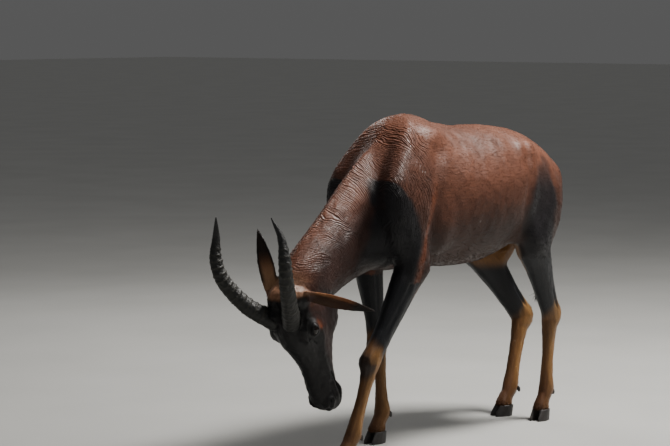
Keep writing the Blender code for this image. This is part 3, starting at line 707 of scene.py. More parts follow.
FOLD_GUIDES = (  # courses of folds on the flank from the withers (x, z), each from the crest down
    ((-0.585, 0.690), (-0.530, 0.690), (-0.475, 0.672), (-0.430, 0.640)),
    ((-0.575, 0.750), (-0.520, 0.748), (-0.455, 0.725), (-0.400, 0.680)),
    ((-0.505, 0.815), (-0.450, 0.805), (-0.400, 0.775), (-0.345, 0.715)),
    ((-0.410, 0.880), (-0.355, 0.860), (-0.310, 0.825), (-0.275, 0.760)),
    ((-0.335, 0.930), (-0.300, 0.895), (-0.270, 0.845), (-0.245, 0.760)),
    ((-0.275, 0.985), (-0.246, 0.935), (-0.240, 0.870), (-0.225, 0.760)),
    ((-0.190, 1.065), (-0.192, 1.010), (-0.172, 0.930), (-0.150, 0.780)),
    ((-0.148, 1.120), (-0.128, 1.050), (-0.095, 0.960), (-0.070, 0.820)),
    ((-0.108, 1.175), (-0.074, 1.100), (-0.024, 1.000), (0.000, 0.860)),
    ((-0.040, 1.215), (0.000, 1.140), (0.045, 1.040), (0.062, 0.920)),
)
FOLD_COUNTS = (0, 4, 11, 19, 25, 31, 39, 46, 51, 56)  # folds passed at each guide
FOLD_DEPTH = 0.0025
SPINE_SPACING = 0.047
RIB_SPACING = 0.043
HEAD_STROKES = (  # half width, height, course on the head (along, forehead)
    (0.009, 0.0028, ((0.085, 0.020), (0.130, 0.012), (0.200, 0.018), (0.260, 0.012))),  # facial crest
    (0.012, -0.0024, ((0.095, 0.046), (0.150, 0.040), (0.220, 0.046))),
    (0.0045, -0.0030, ((0.110, 0.060), (0.128, 0.048))),  # gland before the eye
    (0.0034, -0.0080, (  # the line of the mouth
        (0.412, 0.002), (0.385, -0.008), (0.345, -0.012), (0.305, -0.010), (0.275, -0.002),
    )),
    (0.0070, 0.0026, ((0.405, -0.014), (0.375, -0.022), (0.335, -0.024))),  # lower lip
    (0.0080, 0.0022, ((0.400, 0.012), (0.365, 0.006), (0.315, 0.006))),  # upper lip
    (0.016, 0.0020, ((0.010, -0.080), (0.060, -0.062), (0.110, -0.055), (0.160, -0.050))),  # jaw
    (0.010, -0.0018, ((0.020, 0.030), (0.050, -0.005), (0.095, -0.022), (0.135, -0.020))),
    (0.012, -0.0030, ((-0.030, 0.070), (0.010, 0.085), (0.040, 0.092))),  # temple
)
NOSTRIL = ((0.404, 0.044, 0.015), (0.396, 0.051, 0.027), (0.382, 0.052, 0.038), (0.364, 0.048, 0.046))
CHIN = (0.352, -0.036, 0.0)

# a map of the flank in square cells, from its lowest and foremost corner
FLANK_CELL = 0.008
FLANK_LOW = np.array((-0.80, 0.50))
FLANK_CELLS = (120, 104)
SPREADS = 60  # rounds that fill the map out past the guides


def guided_field(guides, counts):
    """A smooth map of the flank whose level lines follow the guides."""
    rows = np.array([smooth_course(guide, 24) for guide in guides])
    sheet = smooth_course(rows.reshape(len(rows), -1), 40).reshape(-1, 2)
    number = np.repeat(smooth_course(np.array(counts, float)[:, None], 40)[:, 0], rows.shape[1])
    cell = ((sheet - FLANK_LOW) / FLANK_CELL).astype(int)
    flat = cell[:, 0] * FLANK_CELLS[1] + cell[:, 1]
    size = FLANK_CELLS[0] * FLANK_CELLS[1]
    hits = np.bincount(flat, minlength=size).reshape(FLANK_CELLS).astype(float)
    total = np.bincount(flat, number, size).reshape(FLANK_CELLS)
    for _ in range(SPREADS):
        empty = hits == 0
        for table in (total, hits):
            around = sum(np.roll(table, shift, axis) for axis in (0, 1) for shift in (-1, 1))
            table[empty] = around[empty] * 0.25
    field = total / np.maximum(hits, 1e-9)
    for _ in range(3):
        ahead, behind, above, below = (np.roll(field, shift, axis) for axis in (0, 1) for shift in (1, -1))
        field = (field * 2 + ahead + behind + above + below) / 6
    return field


def looked_up(field, flat):
    """The field at places on the flank, and how fast it changes there."""
    spot = np.clip((flat - FLANK_LOW) / FLANK_CELL - 0.5, 0.001, np.array(FLANK_CELLS) - 1.001)
    low = spot.astype(int)
    u, v = (spot - low).T
    i, j = low.T
    a, b, c, d = field[i, j], field[i + 1, j], field[i, j + 1], field[i + 1, j + 1]
    value = (a * (1 - u) + b * u) * (1 - v) + (c * (1 - u) + d * u) * v
    slope = np.hypot((b - a) * (1 - v) + (d - c) * v, (c - a) * (1 - u) + (d - b) * u) / FLANK_CELL
    return value, slope


def folds(points, numbers):
    """The number of folds passed at each point, and their depth there from 0 to 1."""
    body = points - WITHERS
    flat = on_flank(body)
    count, slope = looked_up(guided_field(FOLD_GUIDES, FOLD_COUNTS), flat)
    sided = np.stack((flat[:, 0], flat[:, 1], np.sign(body[:, 1]) * 0.3), axis=1)
    count = count + 0.62 * waves(sided, 0.045, 21) + 0.6 * waves(sided, 0.15, 22)
    spacing = np.clip(1 / (np.maximum(slope, 1.0) * 0.015), 0.3, 1.3)
    own = (numbers <= NUMBER["neck"]) * step(flat[:, 0], 0.035, -0.045) * step(flat[:, 1], 0.62, 0.72)
    own = own * step(flat[:, 1] + 0.25 * flat[:, 0], 1.20, 1.13)
    from_poll = (POLL_CUT[0] - body) @ POLL_CUT[1]
    own = own * step(from_poll, 0.0, 0.05) * (0.35 + 0.65 * step(from_poll, 0.04, 0.20))
    patchy = np.clip(0.95 + 0.20 * waves(sided, 0.10, 24) + 0.25 * waves(sided, 0.030, 26), 0.4, 1.35)
    quiet = 1 - 0.35 * within(flat, *SHOULDER_PATCH, soft=0.3)
    return count, own * spacing * patchy * quiet


def carved(points, normals, numbers):
    """How far each point is moved out along its normal to bring up muscle, bone and folds."""
    body = points - WITHERS
    x, y, z = body.T
    outward = step(normals[:, 1] * np.sign(y), 0.15, 0.6)
    flat = on_flank(body)
    on_body = numbers <= NUMBER["neck"]
    fleshy = on_body | (numbers >= NUMBER[LEGS[0]])
    height = np.zeros(len(points))
    for width, rise, course in STROKES:
        height += rise * hump(nearest_on(flat, course)[0], width) * outward * fleshy
    for place, width, rise in KNOBS:
        height += rise * hump(lengths(flat - np.array(place)), width) * outward * fleshy

    # nape cord and the tops of the withers
    upward = step(normals[:, 2], 0.15, 0.6) * on_body
    nape = step(x, -0.60, -0.45) * step(x, -0.05, -0.16)
    height += 0.0055 * hump(y, 0.010) * upward * nape
    spines = np.cos(math.tau * (x + 0.012) / SPINE_SPACING) * hump(y, 0.016)
    height += 0.0016 * spines * upward * step(x, -0.13, -0.08) * step(x, 0.16, 0.04)

    # ribs, faint under the coat
    rib = np.sin(math.tau * (x + 0.38 * (0.95 - z)) / RIB_SPACING)
    near_ribs = np.exp(-(((x - 0.30) / 0.16) ** 2) - ((z - 0.90) / 0.13) ** 2)
    height += 0.0007 * rib * near_ribs * outward * on_body
    height += 0.0009 * waves(points, 0.035, 11) * on_body * step(x, -0.1, 0.1)

    # folds of the neck and shoulder
    count, deep = folds(points, numbers)
    crease = 1 - np.abs(np.sin(math.pi * count))
    finer = 1 - np.abs(np.sin(math.pi * (count * 1.83 + 0.4 * waves(points, 0.05, 23))))
    height += -FOLD_DEPTH * deep * (crease**2 + 0.35 * finer**2)

    # knee, hock, tendons and fetlock
    lateral = step(np.abs(normals[:, 1]), 0.45, 0.85)
    for leg in LEGS:
        own = numbers == NUMBER[leg]
        _, way, place, _ = nearest_on(points, course_of(leg)[0])
        back = (points - place)[:, 0]
        down = way - joint_of(leg)
        tendon = hump(back - 0.010, 0.0045) * lateral
        height += own * -0.0030 * tendon * step(down, 0.05, 0.09) * step(down, 0.24, 0.20)
        if leg.startswith("fore"):
            height += own * 0.0022 * hump(down, 0.022) * step(-normals[:, 0], 0.2, 0.8)
            height += own * -0.0020 * hump(down - 0.036, 0.012)
            muscle = hump(back + 0.012, 0.007) * lateral
            height += own * -0.0022 * muscle * step(down, -0.05, -0.12)
        else:
            hamstring = hump(back - 0.020, 0.006) * lateral
            height += own * -0.0060 * hamstring * step(down, -0.16, -0.11) * step(down, -0.02, -0.05)
            height += own * 0.0030 * hump(down + 0.004, 0.020) * step(normals[:, 0], 0.3, 0.9)
            height += own * -0.0016 * hump(down - 0.045, 0.014) * lateral

    # head
    on = numbers == NUMBER["head"]
    a, f, l = on_head(points).T
    sideways = step(np.abs(normals @ LEFT), 0.25, 0.65)
    profile = np.stack((a, f), axis=1)
    for width, rise, course in HEAD_STROKES:
        height += on * sideways * rise * hump(nearest_on(profile, course)[0], width)
    half_head = np.stack((a, f, np.abs(l)), axis=1)
    slit = nearest_on(half_head, NOSTRIL)[0]
    height += on * (-0.0140 * hump(slit, 0.0055) + 0.0036 * hump(slit - 0.0115, 0.0045))
    height += on * 0.003 * hump(lengths(half_head - np.array(CHIN)), 0.022)
    height += on * 0.0005 * waves(points, 0.010, 31)
    return height


def grouped(piece, name, shares, levels=20):
    """A vertex group with these shares, in so many steps."""
    group = piece.vertex_groups.new(name=name)
    stepped = np.round(np.asarray(shares) * levels).astype(int)
    for level in range(levels + 1):
        own = np.flatnonzero(stepped == level)
        if len(own):
            group.add(own.tolist(), level / levels, "REPLACE")
    return group.name


def drop_crumbs(piece):
    """Keeps only the body that the lowest point belongs to."""
    lowest = int(points_of(piece.data)[:, 2].argmin())
    with editing(piece):
        bpy.ops.mesh.select_all(action="DESELECT")
    piece.data.vertices[lowest].select = True
    bpy.ops.object.mode_set(mode="EDIT")
    bpy.ops.mesh.select_mode(type="VERT")
    bpy.ops.mesh.select_linked()
    bpy.ops.mesh.select_all(action="INVERT")
    bpy.ops.mesh.delete(type="VERT")
    bpy.ops.object.mode_set(mode="OBJECT")


def make_skin(material):
    """One skin over all the flesh: merged, rounded, carved and drawn in by the depth of the coat."""
    parts = [flesh_copy(name) for name in REGIONS]
    pick(*parts)
    bpy.ops.object.join()
    skin = bpy.context.view_layer.objects.active
    skin.name = skin.data.name = "skin"
    apply_modifier(skin, "REMESH", mode="VOXEL", voxel_size=SKIN_GRAIN)
    drop_crumbs(skin)
    rounds = round(120 * (0.0024 / SKIN_GRAIN) ** 2)
    flesh = grouped(skin, "flesh", roundness(points_of(skin.data) - WITHERS))
    apply_modifier(skin, "SMOOTH", factor=0.6, iterations=rounds, vertex_group=flesh)
    apply_modifier(skin, "SMOOTH", factor=0.5, iterations=8)
    mesh = skin.data
    points, normals = points_of(mesh), normals_of(mesh)
    numbers = region_numbers(points)
    behind_poll = (POLL_CUT[0] - points + WITHERS) @ POLL_CUT[1]
    drawn_in = HEAD_HAIR + MORE_HAIR * step(behind_poll, -0.04, 0.03)
    points = seat_eyes(points + normals * (carved(points, normals, numbers) - drawn_in)[:, None])
    points[:, 2] = np.maximum(points[:, 2], SKIN_FOOT)
    put_points(mesh, held_in(points))
    spare = grouped(skin, "spare", 1 - 0.98 * fineness(numbers))
    triangles = sum(len(face.vertices) - 2 for face in mesh.polygons)
    ratio = min(1.0, SKIN_TRIANGLES / triangles)
    apply_modifier(skin, "DECIMATE", ratio=ratio, vertex_group=spare, vertex_group_factor=0.003)
    apply_modifier(skin, "TRIANGULATE")
    skin.vertex_groups.clear()
    mesh = skin.data
    points, normals = points_of(mesh), normals_of(mesh)
    numbers = region_numbers(points)
    paint_points(mesh, coat_colours(points, normals, numbers))
    chart_skin(mesh, points)
    paint_value(mesh, "gloss", skin_gloss(points, numbers))
    for name, values in zip(("fold", "fold_depth"), folds(points, numbers)):
        paint_value(mesh, name, values)
    return finish_piece(skin, material, REGIONS)


def fineness(numbers):
    """How finely each part of the skin is meshed, from 0 to 1: the head most, flat flanks least."""
    fine = np.full(len(numbers), 0.25)
    fine[numbers == NUMBER["neck"]] = 0.45
    fine[numbers >= NUMBER["ear_left"]] = 0.55
    fine[numbers == NUMBER["head"]] = 0.9
    return fine


def skin_gloss(points, numbers):
    """How bare and wet the skin is: only at the nose."""
    a, _, l = on_head(points).T
    return (numbers == NUMBER["head"]) * (step(a, 0.385, 0.402) * step(np.abs(l), 0.045, 0.030))


def paint_points(mesh, colours):
    """Writes the markings on the mesh's points."""
    layer = mesh.color_attributes.new("coat", "FLOAT_COLOR", "POINT")
    layer.data.foreach_set("color", np.column_stack((colours, np.ones(len(colours)))).ravel())


def paint_value(mesh, name, values):
    """Writes one number on each of the mesh's points."""
    mesh.attributes.new(name, "FLOAT", "POINT").data.foreach_set("value", values.astype(np.float32))


GIRTHS = {
    "trunk": 0.20, "neck": 0.12, "head": 0.09, "tail": 0.018, "ear": 0.03, "foreleg": 0.035, "hindleg": 0.04,
}


def girth(region):
    """A typical radius of a region, which turns an angle round it into a length."""
    return GIRTHS[region.split("_")[0]]


def chart_skin(mesh, points):
    """A UV map in metres, across and along the lie of the hair. Each face keeps to one region's course."""
    faces = triangles_of(mesh)
    centres = points[faces].mean(axis=1)
    numbers = region_numbers(centres)
    middle_turn = np.repeat(charted(centres, numbers)[0], 3)
    numbers = np.repeat(numbers, 3)
    turn, way, _ = charted(points[faces.ravel()], numbers)
    turn += math.tau * np.round((middle_turn - turn) / math.tau)
    radii = np.array([girth(region) for region in REGIONS])[numbers]
    layer = mesh.uv_layers.new(name="lie")
    layer.data.foreach_set("uv", np.column_stack((turn * radii, way)).ravel())


HORN_LINE = (  # back from the face, forehead height, out from the middle
    (-0.014, 0.110, 0.036), (0.000, 0.119, 0.044), (0.061, 0.157, 0.086), (0.128, 0.179, 0.117),
    (0.200, 0.190, 0.140), (0.267, 0.178, 0.149), (0.335, 0.152, 0.140), (0.407, 0.146, 0.119),
)
HORN_TAPER = (  # share of the length, radius
    (0.0, 0.12, 0.30, 0.50, 0.68, 0.82, 0.93, 1.0),
    (0.037, 0.0325, 0.029, 0.0265, 0.0225, 0.0155, 0.009, 0.0035),
)


def horn_line(side):
    """The middle line of a horn."""
    places = smooth_course(HORN_LINE, 12)
    return np.array([head_point(-back, forehead, -side * out) for back, forehead, out in places])


# ---- coat ----
PLOTS = {  # where each region lies on the unwrap: left, bottom, width, height
    "trunk": (0.01, 0.01, 0.60, 0.55),
    "neck": (0.63, 0.01, 0.35, 0.27),
    "head": (0.63, 0.30, 0.35, 0.26),
    "foreleg_left": (0.01, 0.58, 0.14, 0.40),
    "foreleg_right": (0.17, 0.58, 0.14, 0.40),
    "hindleg_left": (0.33, 0.58, 0.15, 0.40),
    "hindleg_right": (0.50, 0.58, 0.15, 0.40),
    "ear_left": (0.67, 0.58, 0.10, 0.18),
    "ear_right": (0.79, 0.58, 0.10, 0.18),
    "tail": (0.91, 0.58, 0.07, 0.38),
}
PATCH = 0.003  # one tuft's patch on the unwrap


def unwrap(points, numbers):
    """Each root's place on the unwrap of the skin."""
    turn, way, _ = charted(points, numbers)
    places = np.zeros((len(points), 2))
    for region, own in by_region(numbers).items():
        left, bottom, width, tall = PLOTS[region]
        places[own, 0] = left + width * (0.5 + turn[own] / math.tau)
        places[own, 1] = bottom + tall * np.clip(way[own] / line_length(course_of(region)[0]), 0, 1)
    return places


def lie_of(points, normals, numbers, links):
    """The lie of the hair: aft along neck and trunk, down the legs and face, out along the ears."""
    wanted = charted(points, numbers)[2]
    x, y, z = (points - WITHERS).T
    on_body = numbers <= NUMBER["neck"]
    wanted[on_body, 2] += (-0.45 * step(np.abs(y), 0.02, 0.12))[on_body]
    thigh = (x > 0.56) & (z < 1.05)
    shoulder = (x < 0.0) & (x > -0.25) & (z < 1.0)
    wanted[on_body & (thigh | shoulder), 2] += -0.9
    wanted = soften(unit(wanted), links, 24, 0.7)
    wanted -= normals * (wanted * normals).sum(axis=1, keepdims=True)
    return unit(wanted)


def scatter(skin, weights, count, seed):
    """Roots spread over the skin in proportion to area and weight: face, and shares of its three corners."""
    faces = triangles_of(skin)
    a, b, c = points_of(skin)[faces.T]
    area = lengths(np.cross(b - a, c - a)) / 2 * weights[faces].mean(axis=1)
    dice = np.random.default_rng(seed)
    chosen = np.sort(dice.choice(len(faces), size=count, p=area / area.sum()))
    first, second = dice.random(count), dice.random(count)
    over = first + second > 1
    first[over], second[over] = 1 - first[over], 1 - second[over]
    return faces[chosen], np.stack((1 - first - second, first, second), axis=1)


def held_in(points):
    """Points kept just inside the solids' box."""
    return np.clip(points, np.array(cad_low) + INSET, np.array(cad_high) - INSET)


# a tuft has three points at its root, three at its belly and one at its tip
TUFT_FACES = np.array((
    (1, 2, 0), (4, 1, 0), (3, 4, 0), (5, 2, 1), (4, 5, 1),
    (3, 0, 2), (5, 3, 2), (6, 4, 3), (6, 5, 4), (6, 3, 5),
))
TUFT_SPREAD = np.array((  # where they lie in the tuft's patch on the unwrap
    (-0.5, 0.0), (0.5, 0.0), (0.0, 0.1), (-0.4, 0.5), (0.4, 0.5), (0.0, 0.6), (0.0, 1.0),
))
TUFT_POINTS = len(TUFT_SPREAD)
TUFT_ROOT = 0.0008  # how deep the root sits in the skin
TUFT_THICKNESS = 0.30  # of the width


def tufts(name, roots, normals, lies, long, wide, high, colours, numbers, material):
    """Pieces of coat: three-sided locks that taper to a point and lie along the body."""
    across = np.cross(normals, lies) * (wide[:, None] / 2)
    thick = normals * (wide[:, None] * TUFT_THICKNESS)
    sunk = roots - normals * TUFT_ROOT
    belly = roots + lies * (long * 0.5)[:, None] + normals * (high * 0.55)[:, None]
    rows = (
        sunk + across,
        sunk - across,
        sunk + normals * (wide[:, None] * TUFT_THICKNESS + TUFT_ROOT),
        belly + across * 0.85 - thick * 0.3,
        belly - across * 0.85 - thick * 0.3,
        belly + thick * 0.8,
        roots + lies * long[:, None] + normals * high[:, None],
    )
    corners = held_in(np.stack(rows, axis=1))
    places = unwrap(roots, numbers)[:, None, :] + TUFT_SPREAD[None] * PATCH
    pieces = max(1, math.ceil(len(roots) / TUFTS_IN_A_PIECE))
    for index, own in enumerate(np.array_split(np.arange(len(roots)), pieces)):
        mesh = bpy.data.meshes.new(f"{name}_{index + 1}")
        faces = (TUFT_FACES[None] + TUFT_POINTS * np.arange(len(own))[:, None, None]).reshape(-1, 3)
        mesh.vertices.add(len(own) * TUFT_POINTS)
        mesh.vertices.foreach_set("co", corners[own].ravel())
        mesh.loops.add(faces.size)
        mesh.loops.foreach_set("vertex_index", faces.ravel())
        mesh.polygons.add(len(faces))
        mesh.polygons.foreach_set("loop_start", np.arange(len(faces)) * 3)
        mesh.update(calc_edges=True)
        layer = mesh.uv_layers.new(name="OFBake")
        layer.data.foreach_set("uv", places[own].reshape(-1, 2)[faces.ravel()].ravel())
        paint_points(mesh, np.repeat(colours[own], TUFT_POINTS, axis=0))
        finish_piece(new_piece(mesh.name, mesh), material, smooth=False)


def grow_coat(skin, material):
    """The coat over the skin: short flat hair everywhere, longer where it breaks the outline."""
    mesh = skin.data
    points, normals = points_of(mesh), normals_of(mesh)
    numbers = region_numbers(points)
    lie = lie_of(points, normals, numbers, links_of(mesh))
    _, y, z = (points - WITHERS).T
    a, f, _ = on_head(points).T
    named = by_region(numbers)
    legs = np.isin(numbers, [NUMBER[leg] for leg in LEGS])
    ears = named["ear_left"] | named["ear_right"]
    socket = np.minimum(*(seen_from_eye(points, side_name)[3] for side_name in SIDES))
    open_skin = (1 - skin_gloss(points, numbers)) * step(socket, 0.95, 1.10)

    def grow(name, weights, count, length, width, lift, seed, darker=1.0, wander=0.18, lie=lie):
        """One kind of tuft; weights say where it grows, and wander how far it strays from the lie."""
        count = int(count * TUFT_SHARE)
        faces, shares = scatter(mesh, weights * open_skin, count, seed)
        dice = np.random.default_rng(seed + 1)
        root, normal, way = (
            (field[faces] * shares[:, :, None]).sum(axis=1) for field in (points, normals, lie)
        )
        normal = unit(normal)
        way = unit(way - normal * (way * normal).sum(axis=1, keepdims=True))
        across = np.cross(normal, way)
        way = unit(way + across * dice.normal(0, wander, count)[:, None])
        number = numbers[faces[:, 0]]
        sized = dice.uniform(0.75, 1.25, count)
        long, wide, high = (
            (np.broadcast_to(size, len(points))[faces] * shares).sum(axis=1) * sized
            for size in (length, width, lift)
        )
        shade = coat_colours(root, normal, number) * (darker * dice.uniform(0.90, 1.12, count))[:, None]
        tufts(name, root, normal, way, long, wide, high, shade, number, material)

    on_body = named["trunk"] | named["neck"]
    by_poll = step(a, 0.03, -0.06)
    small = np.select((named["head"], legs, ears), (0.45 + 0.55 * by_poll, 0.60, 0.5), 1.0)
    spread = 0.6 + 0.4 * np.maximum(on_body, by_poll * named["head"])
    sizes = [size * small for size in (0.0100, 0.0011, 0.0004)]
    grow("coat_short", spread, 62_000, *sizes, 41, wander=0.10)

    crest = on_body * step(np.abs(y), 0.030, 0.010) * step(normals[:, 2], 0.4, 0.9)
    throat = on_body * step(normals[:, 2], -0.5, -0.9)
    back_of_leg = legs * step(normals[:, 0], 0.3, 0.9) * step(z, 0.04, 0.10)
    edge = np.clip(crest * 0.6 + throat * 0.5 + back_of_leg * 1.2, 0, 1)
    grow("coat_edge", edge, 9_500, 0.0125, 0.0009, 0.0013, 43, wander=0.11)

    brush = named["tail"] * step(z, 0.84, 0.72)
    grow("coat_tail", brush, 5_500, 0.052, 0.0022, 0.0065, 45, darker=0.9, wander=0.10)

    grow("coat_ears", ears, 6_500, 0.0075, 0.0007, 0.0006, 47)

    coronet = legs * step(z, 0.075, 0.050)
    grow("coat_coronet", coronet, 2_200, 0.012, 0.0012, 0.0012, 49)

    # a collar of hair climbs the foot of each horn
    collar, climb = np.zeros(len(points)), lie.copy()
    for side in SIDES.values():
        line = horn_line(side)
        distance, way, _, run = nearest_on(points, line)
        proud = distance - np.interp(way / line_length(line), *HORN_TAPER)
        near = named["head"] & (proud < 0.011) & (proud > -0.004) & (way < 0.09)
        collar[near] = 1
        climb[near] = run[near]
    climb = unit(climb - 0.6 * normals * (climb * normals).sum(axis=1, keepdims=True))
    grow("coat_collar", collar, 1_500, 0.0135, 0.0009, 0.0006, 53, lie=climb)

    chin = named["head"] * step(a, 0.30, 0.36) * step(f, 0.0, -0.02)
    grow("coat_chin", chin, 420, 0.008, 0.0006, 0.0016, 51)


# ---- horns ----
HORN_RINGS = 13
HORN_RING_SPAN = (0.08, 0.78)
HORN_AROUND, HORN_ALONG = 56, 300
RING_HEIGHT = 0.0031
FLUTES, FLUTE_DEPTH = 23, 0.00035  # fine ribs along the horn
HORN_WIDTH, HORN_DEPTH = 0.94, 1.03  # the horn is a little flat from side to side


def wrapped_grid(name, around, along, place):
    """A grid sheet, wrapped round into a tube by place(turn, share) and closed at both ends."""
    make = bpy.ops.mesh.primitive_grid_add
    piece = primitive(name, make, x_subdivisions=around, y_subdivisions=along, size=1.0)
    flat = points_of(piece.data)
    put_points(piece.data, place((flat[:, 0] + 0.5) * math.tau, flat[:, 1] + 0.5))
    with editing(piece):
        bpy.ops.mesh.remove_doubles(threshold=1e-6)
        bpy.ops.mesh.select_all(action="DESELECT")
        bpy.ops.mesh.select_non_manifold()
        bpy.ops.mesh.fill_holes(sides=0)
    face_outwards(piece)
    return piece


def make_horn(side_name, material):
    """One horn: a lyre-shaped sweep, ringed over its lower three quarters and smooth at the tip."""
    side = SIDES[side_name]
    line = horn_line(side)
    stops = stops_of(line)
    first, last = HORN_RING_SPAN
    tops = first + (last - first) * ((2 * np.arange(HORN_RINGS) + 1) / (2 * HORN_RINGS)) ** 0.85

    def place(turn, share):
        share = share**0.92
        way = share * stops[-1]
        centre, ahead, behind = (
            np.stack([np.interp(way + shift, stops, line[:, axis]) for axis in range(3)], axis=1)
            for shift in (0.0, 0.010, -0.010)
        )
        run = unit(ahead - behind)
        across = unit(LEFT - run * (run @ LEFT)[:, None])
        upward = np.cross(run, across)
        radius = np.interp(share, *HORN_TAPER)
        front = 0.5 + 0.5 * np.cos(turn - 0.4 * side)
        wobble = 0.006 * np.sin(turn * 2 + 9 * share) + 0.004 * np.sin(turn * 3 + 1.7)
        reach = np.abs(share + wobble * 0.6 - tops[:, None]).min(axis=0)
        gap = np.interp(share, (first, last), (0.028, 0.022))
        ridge = hump(reach, gap * 0.42) * step(share, first - 0.03, first + 0.02)
        ridge = ridge * step(share, last + 0.03, last - 0.06)
        radius = radius - 0.0016 + RING_HEIGHT * ridge * (0.35 + 0.65 * front)
        flutes = FLUTE_DEPTH * np.sin(turn * FLUTES + 2 * np.sin(share * 9)) * step(share, 0.97, 0.7)
        radius = np.maximum(radius + flutes, 0.0012)
        sine, cosine = np.sin(turn), np.cos(turn)
        rim = centre + across * (radius * sine)[:, None] + upward * (radius * cosine)[:, None]
        worn = 0.0006 * waves(rim, 0.008, 61) + 0.0004 * waves(rim, 0.0035, 62)
        worn = worn - 0.0016 * ridge * step(waves(rim, 0.020, 63), 0.2, 1.2)
        radius = radius + worn * step(share, 1.0, 0.75)
        aside = across * (radius * HORN_WIDTH * sine)[:, None]
        return centre + aside + upward * (radius * HORN_DEPTH * cosine)[:, None]

    piece = wrapped_grid(f"horn_sheath_{side_name}", HORN_AROUND, HORN_ALONG, place)
    share = nearest_on(points_of(piece.data), line)[1] / stops[-1]
    paint_value(piece.data, "share", share)
    reach = np.abs(share - tops[:, None]).min(axis=0)
    paint_value(piece.data, "ridge", hump(reach, 0.011) * (share > first - 0.02) * (share < last + 0.02))
    finish_piece(piece, material, [f"horn_{side_name}"])


# ---- eyes ----
def make_eye(side_name, material):
    """One eyeball."""
    make = bpy.ops.mesh.primitive_uv_sphere_add
    piece = primitive(f"eyeball_{side_name}", make, segments=48, ring_count=24, radius=EYE_RADIUS)
    look, slit, up = eye_axes(side_name)
    points = points_of(piece.data) @ np.array((slit, up, look))
    put_points(piece.data, points + middle(f"eye_{side_name}"))
    face_outwards(piece)
    offset = points / EYE_RADIUS
    from_pupil = np.hypot((offset @ slit) * 0.72, offset @ up) + 2.0 * (offset @ look < 0)
    paint_value(piece.data, "from_pupil", from_pupil)
    finish_piece(piece, material, [f"eye_{side_name}"])


def make_lids(side_name, material):
    """The two lids of one eye, as one ring that hugs the ball and sinks into the skin."""
    make = bpy.ops.mesh.primitive_torus_add
    counts = {"major_segments": 56, "minor_segments": 14}
    piece = primitive(f"eyelids_{side_name}", make, major_radius=1.0, minor_radius=0.3, **counts)
    flat = points_of(piece.data)
    turn = np.arctan2(flat[:, 1], flat[:, 0])
    section = np.arctan2(flat[:, 2], np.hypot(flat[:, 0], flat[:, 1]) - 1.0)
    inner_x = EYE_OPENING[0] * np.cos(turn)
    inner_y = EYE_OPENING[1] * np.sin(turn) * (1 - 0.25 * np.cos(turn) ** 2)
    out = 0.5 + 0.5 * np.cos(section)
    wide = LID_WIDTH * out
    x = inner_x * (1 + wide / EYE_OPENING[0])
    y = inner_y * (1 + wide / EYE_OPENING[1] * 0.95)
    outer_face = np.sin(section) > 0
    thick = np.where(outer_face, LID_THICKNESS * np.abs(np.sin(section)) ** 0.5, 0.0)
    crow = 0.35 * np.sin(3 * turn + 0.8) + 0.25 * np.sin(7 * turn)
    fold = 0.0009 * hump(out - 0.50 - 0.06 * crow, 0.12) * (1 + crow) * outer_face
    level = lid_level(np.hypot(x, y)) + 0.0003 + thick - fold - 0.0014 * out**3
    put_points(piece.data, by_eye(side_name, x, y, level))
    face_outwards(piece)
    margin = step(out, 0.22, 0.05)[:, None]
    paint_points(piece.data, FACE_BLACK * (1 + 0.6 * (1 - margin)))
    finish_piece(piece, material)


def make_lashes(side_name, material):
    """The lashes of the upper lid."""
    look, slit, up = eye_axes(side_name)
    turn = np.linspace(0.10, 0.90, LASHES) * math.pi
    x = EYE_OPENING[0] * 1.08 * np.cos(turn)
    y = EYE_OPENING[1] * 1.16 * np.sin(turn)
    roots = by_eye(side_name, x, y, np.sqrt(EYE_RADIUS**2 - x**2 - y**2) + 0.0016)
    lies = unit(look + np.outer(np.cos(turn) * 0.55, slit) - 0.25 * up)
    normals = unit(np.broadcast_to(up, lies.shape) - lies * (lies @ up)[:, None])
    sizes = np.full(LASHES, LASH_LENGTH) * (0.7 + 0.3 * np.sin(turn))
    widths = np.full(LASHES, LASH_WIDTH)
    head = np.full(LASHES, NUMBER["head"])
    shades = np.broadcast_to(TIP_BLACK, roots.shape)
    name = f"eyelashes_{side_name}"
    tufts(name, roots, normals, lies, sizes, widths, sizes * -0.12, shades, head, material)


# ---- hooves ----
CLAW_GRAIN, DEWCLAW_GRAIN = 0.0017, 0.0009
RING_SPACING, RING_RISE = 0.0052, 0.00022
SOLE = 0.0012  # what lies lower than this is set flat on the floor


def make_claw(node, material):
    """One claw or dewclaw: the solid rounded off, with growth rings, flat on the floor."""
    piece = solid_copy(node, node.replace("claw", "hoof"))
    small = node.startswith("dew")
    apply_modifier(piece, "REMESH", mode="VOXEL", voxel_size=DEWCLAW_GRAIN if small else CLAW_GRAIN)
    mesh = piece.data
    points = soften(points_of(mesh), links_of(mesh), 10, 0.6, 0.5)
    normals = normals_of(mesh)
    if not small:
        low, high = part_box(node)
        rise = (points[:, 2] - low.z) / (high.z - low.z)
        rings = np.sin(math.tau * (points[:, 2] + 0.12 * points[:, 0]) / RING_SPACING)
        wall = step(rise, 0.04, 0.15) * step(rise, 1.0, 0.85) * (np.abs(normals[:, 2]) < 0.7)
        points = points + normals * (RING_RISE * rings * wall)[:, None]
        points = np.clip(points, np.array(low), np.array(high))
        points[:, 2] = np.where(points[:, 2] < SOLE, 0.0, points[:, 2])
    put_points(mesh, points)
    finish_piece(piece, material, [node])


# ---- materials ----
KERATIN = 1.55  # refractive index of hair, horn and hoof
CORNEA = 1.38


